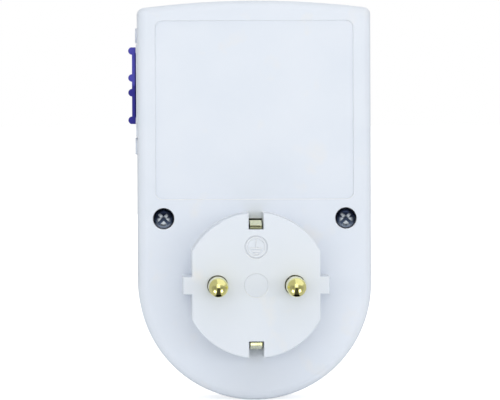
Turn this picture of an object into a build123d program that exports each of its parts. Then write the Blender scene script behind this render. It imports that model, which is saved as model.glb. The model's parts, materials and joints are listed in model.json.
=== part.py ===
from build123d import *
import math
import os

# Mechanical 24-hour plug-in timer switch for a two-pin earthed mains socket, in millimetres.
#
# Frame: the origin is the centre of the plug's end face, midway between its two pins.
# +Y points the way the pins point, into the wall; +Z is up; +X is to the right for
# someone who stands in front of the dial. The casing's front is at the lowest Y.

# ---- driving dimensions ---------------------------------------------------------------

# plug body and pins
PIN_SPACING = 19.0
PIN_R = 2.4
PIN_REACH = 19.0
PIN_NECK_R = 2.2
PIN_COLLAR_R = 3.4
PIN_COLLAR_T = 2.0
PIN_TAIL_R = 1.5
PIN_HOLE_R = 2.55
PLUG_R = 17.85
PLUG_FLAT = 15.75
PLUG_DEPTH = 17.5
PLUG_WALL = 2.0
PLUG_FACE_WALL = 2.6
PLUG_EDGE_R = 0.3
PIN_PLATE_LOW = 3.4
PIN_PLATE_HALF = 2.6
RIB_REACH = 17.95
RIB_HEIGHT = 4.3
NOTCH_WIDTH = 3.6
NOTCH_FLOOR = 13.75
WINDOW_TOP = 16.1
WINDOW_LIP = 0.01

# marks sunk in the plug's end face
DISC_R = 2.95
DISC_DEPTH = 0.25
EARTH_MARK_Z = 9.4
EARTH_MARK_R = 2.85
MARK_RING_R = 2.1
MARK_RING_W = 0.45
MARK_HEIGHT = 0.2
MARK_LINE = 0.3
EARTH_BARS = ((-0.3, 1.45), (-1.05, 1.0), (-1.7, 0.55))
EARTH_STEM_TOP = 1.75

# casing
CASE_R = 28.75
CASE_TOP = 69.85
TOP_ARCH_R = 219.0
TOP_CORNER_R = 1.8
INNER_CORNER_R = 0.6
CASE_DEPTH = 38.5
FRONT_DEPTH = 29.2
WALL = 2.2
BACK_WALL = 2.4
BACK_EDGE_R = 2.0
FRONT_EDGE_R = 2.5
TONGUE_LENGTH = 1.0
TONGUE_WALL = 1.0
JOINT_GAP = 0.1
LABEL_WIDTH = 48.9
LABEL_BOTTOM = 20.8
LABEL_TOP = 64.95
LABEL_CORNER_R = 1.8
LABEL_DEPTH = 0.4

# case screws and the pillars that they pull together
SCREW_SET = 4.05
SCREW_Z = 16.1
SCREW_HEAD_R = 2.45
SCREW_HEAD_T = 1.9
SCREW_SINK = 0.7
SCREW_DOME = 0.55
SCREW_SHANK_R = 1.4
SCREW_LENGTH = 24.0
SCREW_RECESS_R = 2.65
CROSS_WIDTH = 0.75
CROSS_LENGTH = 3.7
CROSS_DEPTH = 1.1
REAR_PILLAR_R = 3.9
FRONT_PILLAR_R = 3.0
PILLAR_GAP = 0.2
THREAD_GAP = 0.02

# socket well in the front
WELL_R = 19.3
WELL_WALL = 1.6
WELL_DEPTH = 17.5
WELL_FLOOR = 2.2
WELL_FLAT = 16.35
WELL_KEY_REACH = 18.6
WELL_KEY_HEIGHT = 5.2
WELL_EDGE_R = 0.6
SOCKET_HOLE_R = 2.65

# earth strips, running from the plug's notches through to the socket well
STRIP_WIDTH = 2.9
STRIP_T = 0.8
STRIP_GAP = 0.25
STRIP_RUN_R = 15.2
STRIP_CREST_R = 15.45
STRIP_TIP_R = 14.35
STRIP_TIP_SET = 1.6
CLIP_R = 16.9
CLIP_LIP_R = 18.2
CLIP_LENGTH = 13.0
CLIP_MID_SHARE = 0.7
CLIP_BOW = 0.1
CLIP_START = 0.5
CLIP_SLOT_GAP = 0.5
BRIDGE_WIDTH = 5.0
BRIDGE_SET = 4.1
BRIDGE_TAIL = 4.0

# socket contacts and conductors
CONTACT_OPENING = 4.9
CONTACT_T = 0.6
CONTACT_LENGTH = 12.6
CONTACT_TOP = 2.6
CONTACT_WEB = 4.6
CONTACT_SEAT_T = 2.0
CONTACT_SEAT_BACK = 10.3
BUSBAR_T = 0.8
BUSBAR_WIDTH = 4.0
BUSBAR_SET = 4.6
TAIL_GAP = 0.05
RIVET_R = 2.2
RIVET_T = 0.9
NEUTRAL_LAP = 5.0
LOAD_LAP = 8.0
STRAP_BEND_Z = 6.0
STRAP_BEND_R = 2.0

# shutter behind the socket's floor
SHUTTER_GAP = 0.2
SHUTTER_T = 2.0
SHUTTER_R = 12.6
SHUTTER_HALF_ANGLE = 19.5
SHUTTER_HUB_R = 3.6
SHUTTER_POST_R = 2.0
SHUTTER_CLIP_R = 3.2
RUNNING_GAP = 0.05
PRESS_GAP = 0.01
CLIP_T = 0.6
SPRING_WIRE = 0.5
SPRING_GAP = 0.1
SPRING_SET = 0.7
SPRING_REACH = 8.5
SPRING_END_Z = 3.9
SPRING_BEND_R = 1.2

# dial
DIAL_Z = 43.8
DIAL_R = 22.0
DIAL_GAP = 0.6
DIAL_PROUD = 0.3
DIAL_RING_T = 7.0
DIAL_RIM_WALL = 0.7
DIAL_FACE_SET = 0.7
DIAL_FACE_T = 2.0
DIAL_HUB_R = 5.0
DIAL_HUB_LENGTH = 9.0
DIAL_POCKET_R = 4.0
DIAL_POCKET_DEPTH = 1.5
DIAL_CAP_R = 5.6
DIAL_CAP_T = 1.4
CAP_DOME = 0.7
ARBOR_R = 2.0
ARBOR_FLANGE_R = 3.5
ARBOR_FLANGE_T = 1.0
DIAL_SCREW_R = 3.3
DIAL_SCREW_T = 1.0
DIAL_SCREW_SHANK_R = 1.0
DIAL_SCREW_LENGTH = 5.0
SCREW_SLOT = 0.8
SCREW_SLOT_DEPTH = 0.5

# tappets: 48 half-hour blades round the dial's rim
TAPPET_COUNT = 48
TAPPET_GROUPS = 8
TAPPET_DEPTH = 3.0
TAPPET_ANGLE = 5.2
TAPPET_GAP = 0.1
TAPPET_TRAVEL = 3.0
TAPPET_FOOT = 2.7
TAPPET_FOOT_REACH = 0.3

# raised arrow beside the dial
ARROW_LENGTH = 2.2
ARROW_HALF = 1.4
ARROW_PROUD = 0.3

# gear train; a tooth's widths are shares of the tooth spacing
MODULE = 0.45
ADDENDUM = 0.85
DEDENDUM = 1.2
ROOT_SHARE = 0.30
PITCH_SHARE = 0.215
TIP_SHARE = 0.10
DIAL_TEETH = 48
IDLER_TEETH = 36
PINION_TEETH = 12
DIAL_GEAR_T = 3.0
DIAL_GEAR_BACK = 1.0
IDLER_GEAR_T = 2.0
PLATE_GAP = 1.2
IDLER_ARBOR_R = 1.0
IDLER_HUB_R = 1.9
ROTOR_BEARING = 50.0
GEAR_CLIP_R = 6.4
PINION_OVERRUN = 0.4
ARBOR_TAIL = 1.0
ARBOR_RIVET_R = 1.5
ARBOR_RIVET_T = 0.5

# mechanism plate and its posts
PLATE_DEPTH = 16.0
PLATE_T = 2.0
PLATE_SIDE_GAP = 0.75
PLATE_BOTTOM = 22.0
PLATE_TOP = 65.3
PLATE_EAR_HEIGHT = 8.6
LUG_FOOT = 5.0
PLATE_CORNER_R = 1.5
POST_R = 2.3
POST_SET = 3.15
POST_Z_LOW = 24.6
POST_Z_HIGH = 63.0
PLATE_SCREW_HEAD_R = 2.0
PLATE_SCREW_HEAD_T = 1.5
PLATE_SCREW_R = 1.0
PLATE_SCREW_LENGTH = 9.0
PLATE_CROSS_LENGTH = 2.4
PLATE_CROSS_WIDTH = 0.5
PLATE_CROSS_DEPTH = 0.8

# motor
MOTOR_R = 13.5
MOTOR_DEPTH = 11.0
MOTOR_WALL = 0.8
COVER_LIP = 1.0
COVER_LIP_T = 0.3
COIL_INNER_R = 7.6
COIL_OUTER_R = 12.3
ROTOR_R = 6.4
ROTOR_RIM = 1.6
ROTOR_HUB = 1.5
ROTOR_WEB = 2.5
ROTOR_END_GAP = 1.0
BOBBIN_T = 0.8
BOBBIN_STEP = 0.6
SHAFT_R = 0.75
LEAD_R = 0.6
LEAD_X = (-3.5, 3.5)
LEAD_HOLE_GAP = 0.2
LEAD_BEND_R = 1.8
LEAD_DROP = 11.0
LEAD_RISE = 4.0
LEAD_TURN_Z = 17.5
LEAD_SET = 3.5

# follower lever
LEVER_SET = 4.0
LEVER_Z = 33.8
LEVER_PIN_R = 1.0
LEVER_HUB_R = 2.5
LEVER_WIDTH = 4.2
LEVER_HUB_WIDTH = 4.8
LEVER_END_GAP = 0.4
LEVER_SIDE_GAP = 0.5
LEVER_PIN_HEAD_R = 1.6
LEVER_PIN_HEAD_T = 0.6
LEVER_SPRING_TURNS = 3
LEVER_SPRING_GAP = 0.3
LUG_T = 1.8
LUG_SPAN = 7.8
LUG_SIDE_GAP = 0.2
LUG_BACK = 2.6
LUG_BEVEL = 1.0
PEG_R = 0.8
PEG_Z = 45.2
PEG_LAP = 0.4
NOSE_R = 1.2
FOOT_Z = 24.5
FOOT_HEIGHT = 1.8
ARM_T = 2.2
NOSE_REACH = 6.0
PEG_BOSS_R = 1.3
ARM_LEAD = 1.0

# switch
SWITCH_SET = 6.6
BLADE_WIDTH = 4.0
BLADE_T = 0.6
BLADE_TOP = 31.0
BLADE_ROLL_R = 0.8
BLADE_ROLL_Z = 20.6
BLADE_SET = 9.2
TIP_R = 1.5
TIP_T = 0.8
TIP_Z = 29.5
TIP_GAP = 0.1
TERMINAL_HALF = 1.5
TERMINAL_BOTTOM = 18.4
TERMINAL_RISE = 0.4
TERMINAL_PAD = 3.0
RISE_SET = 1.0
BUSBAR_POST_HALF = 1.6
STRAP_WIDTH = 3.0

# override slider
SLIDER_SET = 3.2
SLIDER_TRAVEL = 2.8
SLIDER_LOW = 39.4
SLIDER_HIGH = 58.4
SLIDER_PROUD = 1.35
SLIDER_HALF_MID = 3.7
SLIDER_HALF_END = 2.5
SLIDER_GAP = 0.1
GRIP_R = 0.93
GRIP_OFFSETS = (-8.6, -1.75, 1.9, 8.6)
PAD_PROUD = 0.35
PAD_LOW = 36.3
PAD_HIGH = 59.1
PAD_HALF = 5.0
THUMB_LIFT = 0.15
THUMB_WAIST_SET = 1.0
NECK_HALF = 3.0
NECK_LOW = 41.0
NECK_HIGH = 57.0
SLOT_SIDE_GAP = 0.2
SLOT_END_GAP = 0.3
RAIL_DEPTH = 1.95
RAIL_GAP = 0.25
RAIL_AHEAD = 7.0
RAIL_BEHIND = 3.5
RAIL_LOW = 38.6
RAIL_HIGH = 59.4
SLIDER_ARM_TOP = 42.4
SLIDER_ARM_LOW = 39.4
SLIDER_FOOT_DEPTH = 3.75
SLIDER_FOOT_TOP = 44.75
SLIDER_FOOT_T = 3.2
SLIDER_FOOT_BEVEL = 0.4
DETENT_R = 0.7
DETENT_Z = 49.0
DETENT_STRIP = 0.4
DETENT_HALF = 5.5
DETENT_REST = 0.4
DETENT_BUMP_SET = 0.1
DETENT_BEND_R = 0.5
DETENT_SIDE_GAP = 0.2

# raised marks beside the slider: a bar for always on, a clock for timed
MARK_PROUD = 0.55
MARK_SET = 1.0
MARK_BAR_LOW = 59.4
MARK_BAR_HIGH = 63.1
MARK_BAR_WIDTH = 1.2
CLOCK_Z = 33.9
CLOCK_R = 2.1
CLOCK_LINE = 0.6

# cutting shapes run this far past a face; joined shapes are buried this deep
CUT = 1.0
BURY = 0.1

# ---- levels and places worked out from them --------------------------------------------

PIN_X = PIN_SPACING / 2
CASE_IN_X = CASE_R - WALL
MARK_IN_X = CASE_R - WALL / 4
SCREW_X = CASE_IN_X - SCREW_SET
POST_X = CASE_IN_X - POST_SET
RAIL_IN = CASE_IN_X - RAIL_DEPTH
SLIDER_FOOT_IN = CASE_IN_X - SLIDER_FOOT_DEPTH
PEG_REACH = RAIL_IN + PEG_LAP
LUG_RIGHT = RAIL_IN - LUG_SIDE_GAP - LUG_T
LUG_LEFT = LUG_RIGHT - LUG_SPAN
LEVER_HUB_RIGHT = LUG_RIGHT - LEVER_END_GAP
LEVER_LEFT = LEVER_HUB_RIGHT - LEVER_HUB_WIDTH
LEVER_RIGHT = LEVER_LEFT + LEVER_WIDTH
SWITCH_X = LUG_RIGHT - SWITCH_SET
PLATE_LEFT = CASE_IN_X - PLATE_SIDE_GAP
PLATE_RIGHT = LUG_LEFT
TAPPET_OUTER_R = DIAL_R - DIAL_RIM_WALL
TAPPET_INNER_R = TAPPET_OUTER_R - TAPPET_DEPTH
DIAL_RING_INNER_R = TAPPET_INNER_R - DIAL_RIM_WALL
BACK_Y = -PLUG_DEPTH
BACK_IN_Y = BACK_Y - BACK_WALL
FRONT_Y = BACK_Y - CASE_DEPTH
JOINT_Y = FRONT_Y + FRONT_DEPTH
PLATE_Y = FRONT_Y + PLATE_DEPTH
LEVER_Y = PLATE_Y + LEVER_SET
BLADE_Y = PLATE_Y + BLADE_SET
SLIDER_Y = JOINT_Y - SLIDER_SET
RAIL_FRONT = SLIDER_Y - RAIL_AHEAD
RAIL_BACK = SLIDER_Y + RAIL_BEHIND
BRIDGE_Y = BACK_IN_Y - BRIDGE_SET
FRONT_IN_Y = FRONT_Y + WALL
WELL_FLOOR_Y = FRONT_Y + WELL_DEPTH
WELL_BACK_Y = WELL_FLOOR_Y + WELL_FLOOR
SCREW_SEAT_Y = BACK_Y - SCREW_SINK - SCREW_HEAD_T
REAR_PILLAR_Y = JOINT_Y + TONGUE_LENGTH
SHUTTER_Y = WELL_BACK_Y + SHUTTER_GAP
SHUTTER_BACK_Y = SHUTTER_Y + SHUTTER_T
CONTACT_Y = SHUTTER_BACK_Y + CLIP_T
CONTACT_BACK_Y = CONTACT_Y + CONTACT_LENGTH
CONTACT_HALF = CONTACT_OPENING / 2
PIN_COLLAR_Y = -PLUG_FACE_WALL - PIN_COLLAR_T
BUSBAR_Y = PIN_COLLAR_Y - BUSBAR_SET + BUSBAR_T
DIAL_Y = FRONT_Y - DIAL_PROUD
DIAL_RING_BACK_Y = DIAL_Y + DIAL_RING_T
DIAL_FACE_Y = DIAL_Y + DIAL_FACE_SET
DIAL_FACE_BACK_Y = DIAL_FACE_Y + DIAL_FACE_T
DIAL_HUB_BACK_Y = DIAL_FACE_BACK_Y + DIAL_HUB_LENGTH
DIAL_GEAR_BACK_Y = DIAL_HUB_BACK_Y - DIAL_GEAR_BACK
DIAL_GEAR_Y = DIAL_GEAR_BACK_Y - DIAL_GEAR_T
DIAL_POCKET_Y = DIAL_FACE_Y + DIAL_POCKET_DEPTH
DIAL_SCREW_Y = DIAL_POCKET_Y - RUNNING_GAP * 2
PLATE_BACK_Y = PLATE_Y + PLATE_T
TAPPET_FRONT_Y = DIAL_Y - TAPPET_TRAVEL
TAPPET_BACK_Y = DIAL_RING_BACK_Y + 2 * TAPPET_GAP + TAPPET_FOOT
IDLER_GEAR_BACK_Y = PLATE_Y - PLATE_GAP
IDLER_GEAR_Y = IDLER_GEAR_BACK_Y - IDLER_GEAR_T
IDLER_X = -MODULE * (DIAL_TEETH + PINION_TEETH) / 2
MOTOR_OFFSET = MODULE * (IDLER_TEETH + PINION_TEETH) / 2
MOTOR_X = IDLER_X + MOTOR_OFFSET * math.cos(math.radians(ROTOR_BEARING))
MOTOR_Z = DIAL_Z + MOTOR_OFFSET * math.sin(math.radians(ROTOR_BEARING))
MOTOR_BACK_Y = PLATE_BACK_Y + MOTOR_DEPTH
LEAD_Y = MOTOR_BACK_Y - MOTOR_DEPTH / 3
BLADE_FRONT_Y = BLADE_Y - BLADE_T / 2
BLADE_BACK_Y = BLADE_Y + BLADE_T / 2
STRAP_BACK_Y = BLADE_FRONT_Y - TIP_GAP - 2 * TIP_T
STRAP_Y = STRAP_BACK_Y - BUSBAR_T
TERMINAL_FRONT_Y = BLADE_Y - TERMINAL_HALF
TERMINAL_BACK_Y = BLADE_Y + TERMINAL_HALF
LIVE_STRIP_BACK_Y = TERMINAL_BACK_Y + BUSBAR_T
SLIDER_MID = (SLIDER_LOW + SLIDER_HIGH) / 2
SLIDER_FACE_X = CASE_R + SLIDER_PROUD
NOSE_Y = LEVER_Y - NOSE_REACH
PEG_Y = NOSE_Y + RUNNING_GAP * 2
SLIDER_FOOT_BACK = PEG_Y - PEG_R - SLIDER_GAP
SLIDER_FOOT_FRONT = SLIDER_FOOT_BACK - SLIDER_FOOT_T
DETENT_SEAT_Y = RAIL_BACK + DETENT_R + DETENT_STRIP + DETENT_REST
OUTSIDE_CLAMP = CONTACT_WEB + CONTACT_T

# ---- shapes used by many parts ---------------------------------------------------------


def slab(sketch, y_front, y_back):
    """A prism along Y; the sketch's own x and y are the part's X and Z."""
    return extrude(Plane.XZ.offset(-y_back) * sketch, amount=y_back - y_front)


def bar(sketch, x_left, x_right):
    """A prism along X; the sketch's own x and y are the part's Y and Z."""
    return extrude(Plane.YZ.offset(x_left) * sketch, amount=x_right - x_left)


def rectangle(x0, x1, z0, z1):
    """A rectangle between two corners, for a prism along Y."""
    return Pos((x0 + x1) / 2, (z0 + z1) / 2) * Rectangle(x1 - x0, z1 - z0)


def block(x0, x1, y0, y1, z0, z1):
    """A box between two corners."""
    middle = Pos((x0 + x1) / 2, (y0 + y1) / 2, (z0 + z1) / 2)
    return middle * Box(x1 - x0, y1 - y0, z1 - z0)


def rod(radius, y_front, y_back, x=0.0, z=0.0):
    """A round bar along Y."""
    return slab(Pos(x, z) * Circle(radius), y_front, y_back)


def rod_x(radius, x_left, x_right, y, z):
    """A round bar along X."""
    return bar(Pos(y, z) * Circle(radius), x_left, x_right)


def tube(outer, inner, y_front, y_back, x=0.0, z=0.0):
    """A round tube along Y."""
    ring = Circle(outer) - Circle(inner)
    return slab(Pos(x, z) * ring, y_front, y_back)


def case_outline(inset=0.0):
    """The casing seen from the front: a half circle, straight sides and a low arch."""
    half = CASE_R - inset
    arch_r = TOP_ARCH_R - inset
    corner_z = CASE_TOP - TOP_ARCH_R + math.sqrt(arch_r**2 - half**2)
    lower = ThreePointArc((-half, 0), (0, -half), (half, 0))
    right = Line((half, 0), (half, corner_z))
    arch = ThreePointArc((half, corner_z), (0, CASE_TOP - inset), (-half, corner_z))
    left = Line((-half, corner_z), (-half, 0))
    face = make_face([lower, right, arch, left])
    corners = face.vertices().sort_by(Axis.Y)[-2:]
    return fillet(corners, max(TOP_CORNER_R - inset, INNER_CORNER_R))


def plug_outline():
    """The plug's end face: a circle with two flats, two ribs and two earth notches."""
    face = Circle(PLUG_R) & Rectangle(2 * PLUG_FLAT, 3 * PLUG_R)
    face += Rectangle(2 * RIB_REACH, RIB_HEIGHT)
    for side in (1, -1):
        depth = PLUG_R - NOTCH_FLOOR + CUT
        face -= Pos(0, side * (NOTCH_FLOOR + depth / 2)) * Rectangle(NOTCH_WIDTH, depth)
    return face


def well_outline():
    """The socket well: a circle whose sides carry two fillers, each with a keyway."""
    face = Circle(WELL_R) & Rectangle(2 * WELL_FLAT, 3 * WELL_R)
    return face + Rectangle(2 * WELL_KEY_REACH, WELL_KEY_HEIGHT)


def sector(inner, outer, middle_angle, half_angle):
    """Part of a ring, about the sketch's origin, bounded by two radii."""
    cut = outer / math.cos(math.radians(half_angle)) + CUT
    low = math.radians(middle_angle - half_angle)
    high = math.radians(middle_angle + half_angle)
    wedge = make_face(
        Polyline(
            (0, 0),
            (cut * math.cos(low), cut * math.sin(low)),
            (cut * math.cos(high), cut * math.sin(high)),
            close=True,
        )
    )
    ring = Circle(outer) - Circle(inner) if inner > 0 else Circle(outer)
    return ring & wedge


def gear(teeth, bore, phase=0.0):
    """A spur gear; one tooth points at the phase angle, in degrees."""
    pitch_r = MODULE * teeth / 2
    root_r = pitch_r - DEDENDUM * MODULE
    tip_r = pitch_r + ADDENDUM * MODULE
    step = 2 * math.pi / teeth
    corners = []
    for k in range(teeth):
        middle = math.radians(phase) + k * step
        for radius, share in (
            (root_r, -ROOT_SHARE),
            (pitch_r, -PITCH_SHARE),
            (tip_r, -TIP_SHARE),
            (tip_r, TIP_SHARE),
            (pitch_r, PITCH_SHARE),
            (root_r, ROOT_SHARE),
        ):
            angle = middle + share * step
            corners.append((radius * math.cos(angle), radius * math.sin(angle)))
    return make_face(Polyline(*corners, close=True)) - Circle(bore)


def strip_profile(points, thickness, radius=0.8):
    """A bent strip's edge view, with rounded bends."""
    return trace(FilletPolyline(*points, radius=radius), thickness)


# ---- casing ----------------------------------------------------------------------------


def earth_mark():
    """The raised protective-earth symbol, within its ring."""
    ring = Circle(MARK_RING_R + MARK_RING_W) - Circle(MARK_RING_R)
    stem_height = EARTH_STEM_TOP - EARTH_BARS[0][0]
    stem = Pos(0, EARTH_STEM_TOP - stem_height / 2) * Rectangle(MARK_LINE, stem_height)
    mark = ring + stem
    for height, half in EARTH_BARS:
        mark += Pos(0, height) * Rectangle(2 * half, MARK_LINE)
    return mark


def slider_slot(y_front, y_back):
    """The slot in the right wall that the slider's neck runs in."""
    low = NECK_LOW - SLIDER_TRAVEL - SLOT_END_GAP
    high = NECK_HIGH + SLOT_END_GAP
    return block(CASE_IN_X - CUT, CASE_R + CUT, y_front, y_back, low, high)


def rear_shell():
    """Back of the casing, with the hollow plug body, label recess and screw recesses."""
    shell = slab(case_outline(), JOINT_Y, BACK_Y)
    shell = fillet(shell.faces().sort_by(Axis.Y)[-1].edges(), BACK_EDGE_R)
    shell -= slab(case_outline(WALL), JOINT_Y, BACK_IN_Y)
    tongue = case_outline(WALL - TONGUE_WALL) - case_outline(WALL)
    shell += slab(tongue, JOINT_Y - TONGUE_LENGTH, JOINT_Y)

    plug = slab(plug_outline(), BACK_IN_Y, 0)
    plug = fillet(plug.faces().sort_by(Axis.Y)[-1].edges(), PLUG_EDGE_R)
    shell += plug
    cavity = Circle(PLUG_R - PLUG_WALL)
    cavity &= Rectangle(2 * (PLUG_FLAT - PLUG_WALL), 2 * (NOTCH_FLOOR - PLUG_WALL))
    shell -= slab(cavity, BACK_IN_Y, -PLUG_FACE_WALL)

    label_middle = (LABEL_BOTTOM + LABEL_TOP) / 2
    label = RectangleRounded(LABEL_WIDTH, LABEL_TOP - LABEL_BOTTOM, LABEL_CORNER_R)
    shell -= slab(Pos(0, label_middle) * label, BACK_Y - LABEL_DEPTH, BACK_Y + CUT)

    shell -= rod(DISC_R, -DISC_DEPTH, CUT)
    shell -= rod(EARTH_MARK_R, -DISC_DEPTH, CUT, 0, EARTH_MARK_Z)
    mark = Pos(0, EARTH_MARK_Z) * earth_mark()
    shell += slab(mark, -DISC_DEPTH, -DISC_DEPTH + MARK_HEIGHT)

    for side in (1, -1):
        shell -= rod(PIN_HOLE_R, -PLUG_FACE_WALL - CUT, CUT, side * PIN_X)
        window = sorted((side * NOTCH_FLOOR, side * WINDOW_TOP))
        half = NOTCH_WIDTH / 2
        shell -= block(-half, half, BACK_IN_Y - CUT, BACK_Y + WINDOW_LIP, *window)
        place = (side * SCREW_X, SCREW_Z)
        shell += rod(REAR_PILLAR_R, REAR_PILLAR_Y, BACK_IN_Y + BURY, *place)
        shell -= rod(SCREW_RECESS_R, SCREW_SEAT_Y, BACK_Y + CUT, *place)
        shell -= rod(SCREW_SHANK_R + PILLAR_GAP, REAR_PILLAR_Y - CUT, SCREW_SEAT_Y, *place)

    shell += detent_rib()
    shell += busbar_post()
    shell += track_pad(JOINT_Y, SLIDER_Y + PAD_HALF)
    return shell - slider_slot(JOINT_Y - 2 * CUT, SLIDER_Y + NECK_HALF + SLOT_SIDE_GAP)


def detent_rib():
    """The rib inside the back wall that carries the slider's detent spring."""
    low = DETENT_Z - DETENT_HALF
    high = DETENT_Z + DETENT_HALF
    return block(RAIL_IN, CASE_IN_X + BURY, DETENT_SEAT_Y, BACK_IN_Y + BURY, low, high)


def busbar_post():
    """The post inside the back wall that backs up the live conductor's end."""
    x0 = SWITCH_X - BUSBAR_POST_HALF
    x1 = SWITCH_X + BUSBAR_POST_HALF
    low = BLADE_ROLL_Z - 2 * BUSBAR_POST_HALF
    return block(x0, x1, LIVE_STRIP_BACK_Y, BACK_IN_Y + BURY, low, BLADE_ROLL_Z)


def front_shell():
    """Front of the casing, with the socket well, dial opening, pillars and posts."""
    shell = slab(case_outline(), FRONT_Y, JOINT_Y)
    shell = fillet(shell.faces().sort_by(Axis.Y)[0].edges(), FRONT_EDGE_R)
    shell -= slab(case_outline(WALL), FRONT_IN_Y, JOINT_Y + CUT)
    rebate = case_outline(WALL - TONGUE_WALL - JOINT_GAP)
    shell -= slab(rebate, JOINT_Y - TONGUE_LENGTH - JOINT_GAP, JOINT_Y + CUT)

    shell += rod(WELL_R + WELL_WALL, FRONT_IN_Y - BURY, WELL_BACK_Y)
    shell -= slab(well_outline(), FRONT_Y - CUT, WELL_FLOOR_Y)
    shell -= rod(DIAL_R + DIAL_GAP, FRONT_Y - CUT, FRONT_IN_Y + BURY, 0, DIAL_Z)
    mouths = shell.faces().sort_by(Axis.Y)[0].inner_wires()
    shell = chamfer([edge for mouth in mouths for edge in mouth.edges()], WELL_EDGE_R)
    shell += slider_marks()
    shell -= slider_slot(SLIDER_Y - NECK_HALF - SLOT_SIDE_GAP, JOINT_Y + 2 * CUT)

    strip_half = STRIP_WIDTH / 2 + STRIP_GAP
    for side in (1, -1):
        shell -= rod(SOCKET_HOLE_R, WELL_FLOOR_Y - CUT, WELL_BACK_Y + CUT, side * PIN_X)
        slot_low = STRIP_RUN_R - STRIP_T / 2 - STRIP_GAP
        slot_high = CLIP_LIP_R + STRIP_T / 2 + CLIP_SLOT_GAP
        slot = sorted((side * slot_low, side * slot_high))
        shell -= block(-strip_half, strip_half, WELL_FLOOR_Y - WINDOW_LIP, WELL_BACK_Y + CUT, *slot)
        place = (side * SCREW_X, SCREW_Z)
        pillar_y = REAR_PILLAR_Y - PILLAR_GAP
        shell += rod(FRONT_PILLAR_R, FRONT_IN_Y - BURY, pillar_y, *place)
        thread_end = SCREW_SEAT_Y - SCREW_LENGTH - CUT
        shell -= rod(SCREW_SHANK_R + THREAD_GAP, thread_end, pillar_y + CUT, *place)
        for height in (POST_Z_LOW, POST_Z_HIGH):
            post = (side * POST_X, height)
            shell += rod(POST_R, FRONT_IN_Y - BURY, PLATE_Y, *post)
            hole_end = PLATE_BACK_Y - PLATE_SCREW_LENGTH - CUT
            shell -= rod(PLATE_SCREW_R + THREAD_GAP, hole_end, PLATE_Y + CUT, *post)
        shell += contact_seat(side)
    shell += rod(SHUTTER_POST_R, WELL_BACK_Y - BURY, CONTACT_Y)
    shell += time_arrow()
    return shell


def contact_seat(side):
    """The ledge behind the socket's floor that one pin clamp rests on."""
    reach = CONTACT_HALF + CONTACT_T
    x0, x1 = sorted((side * (PIN_X - reach), side * (PIN_X + reach)))
    z0, z1 = sorted((-side * OUTSIDE_CLAMP, -side * (OUTSIDE_CLAMP + CONTACT_SEAT_T)))
    return block(x0, x1, WELL_BACK_Y - BURY, WELL_BACK_Y + CONTACT_SEAT_BACK, z0, z1)


def track_pad(y_front, y_back):
    """One casing half's share of the raised pad that the slider's thumb piece runs on."""
    return block(MARK_IN_X, CASE_R + PAD_PROUD, y_front, y_back, PAD_LOW, PAD_HIGH)


def slider_marks():
    """The front half of the slider's track pad, the bar above it and the clock below it."""
    marks = track_pad(SLIDER_Y - PAD_HALF, JOINT_Y)
    mark_y = SLIDER_Y - MARK_SET
    bar_middle = (MARK_BAR_LOW + MARK_BAR_HIGH) / 2
    stroke = Rectangle(MARK_BAR_WIDTH, MARK_BAR_HIGH - MARK_BAR_LOW)
    marks += bar(Pos(mark_y, bar_middle) * stroke, MARK_IN_X, CASE_R + MARK_PROUD)
    ring = Circle(CLOCK_R) - Circle(CLOCK_R - CLOCK_LINE)
    hand = CLOCK_R - CLOCK_LINE / 2
    upright = Pos(0, hand / 2) * Rectangle(CLOCK_LINE / 2, hand)
    level = Pos(hand / 3, 0) * Rectangle(hand * 2 / 3, CLOCK_LINE / 2)
    clock = Pos(mark_y, CLOCK_Z) * (ring + upright + level)
    return marks + bar(clock, MARK_IN_X, CASE_R + MARK_PROUD)


def time_arrow():
    """The small raised arrow beside the dial that marks the time of day."""
    tip_x = DIAL_R + DIAL_GAP + WELL_EDGE_R
    arrow = make_face(
        Polyline(
            (tip_x, DIAL_Z),
            (tip_x + ARROW_LENGTH, DIAL_Z + ARROW_HALF),
            (tip_x + ARROW_LENGTH, DIAL_Z - ARROW_HALF),
            close=True,
        )
    )
    return slab(arrow, FRONT_Y - ARROW_PROUD, FRONT_Y + BURY)


def case_screws():
    """The two pan-head cross-recess screws, in from the back."""
    screws = []
    for side in (1, -1):
        head_y = SCREW_SEAT_Y + SCREW_HEAD_T
        head = rod(SCREW_HEAD_R, SCREW_SEAT_Y, head_y)
        head = fillet(head.edges().sort_by(Axis.Y)[-1], SCREW_HEAD_T * SCREW_DOME)
        shank = rod(SCREW_SHANK_R, SCREW_SEAT_Y - SCREW_LENGTH, SCREW_SEAT_Y)
        shank = chamfer(shank.edges().sort_by(Axis.Y)[0], SCREW_SHANK_R / 2)
        screw = head + shank
        for turn in (45, -45):
            arm = Rot(0, 0, turn) * Rectangle(CROSS_LENGTH, CROSS_WIDTH)
            screw -= slab(arm, head_y - CROSS_DEPTH, head_y + CUT)
        screws.append(Pos(side * SCREW_X, 0, SCREW_Z) * screw)
    return Compound(children=screws)


# ---- plug pins and conductors ----------------------------------------------------------


def plug_pin(side):
    """A solid pin: round tip, necked base in its hole, collar and riveted tail."""
    shoulder = PIN_REACH - PIN_R
    pin = rod(PIN_R, 0, shoulder)
    pin += Pos(0, shoulder, 0) * Sphere(PIN_R)
    pin += rod(PIN_NECK_R, PIN_COLLAR_Y, 0)
    pin += rod(PIN_COLLAR_R, PIN_COLLAR_Y, -PLUG_FACE_WALL)
    tail_y = BUSBAR_Y - BUSBAR_T
    pin += rod(PIN_TAIL_R, tail_y, PIN_COLLAR_Y)
    pin += rod(RIVET_R, tail_y - RIVET_T, tail_y)
    return Pos(side * PIN_X, 0, 0) * pin


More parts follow.
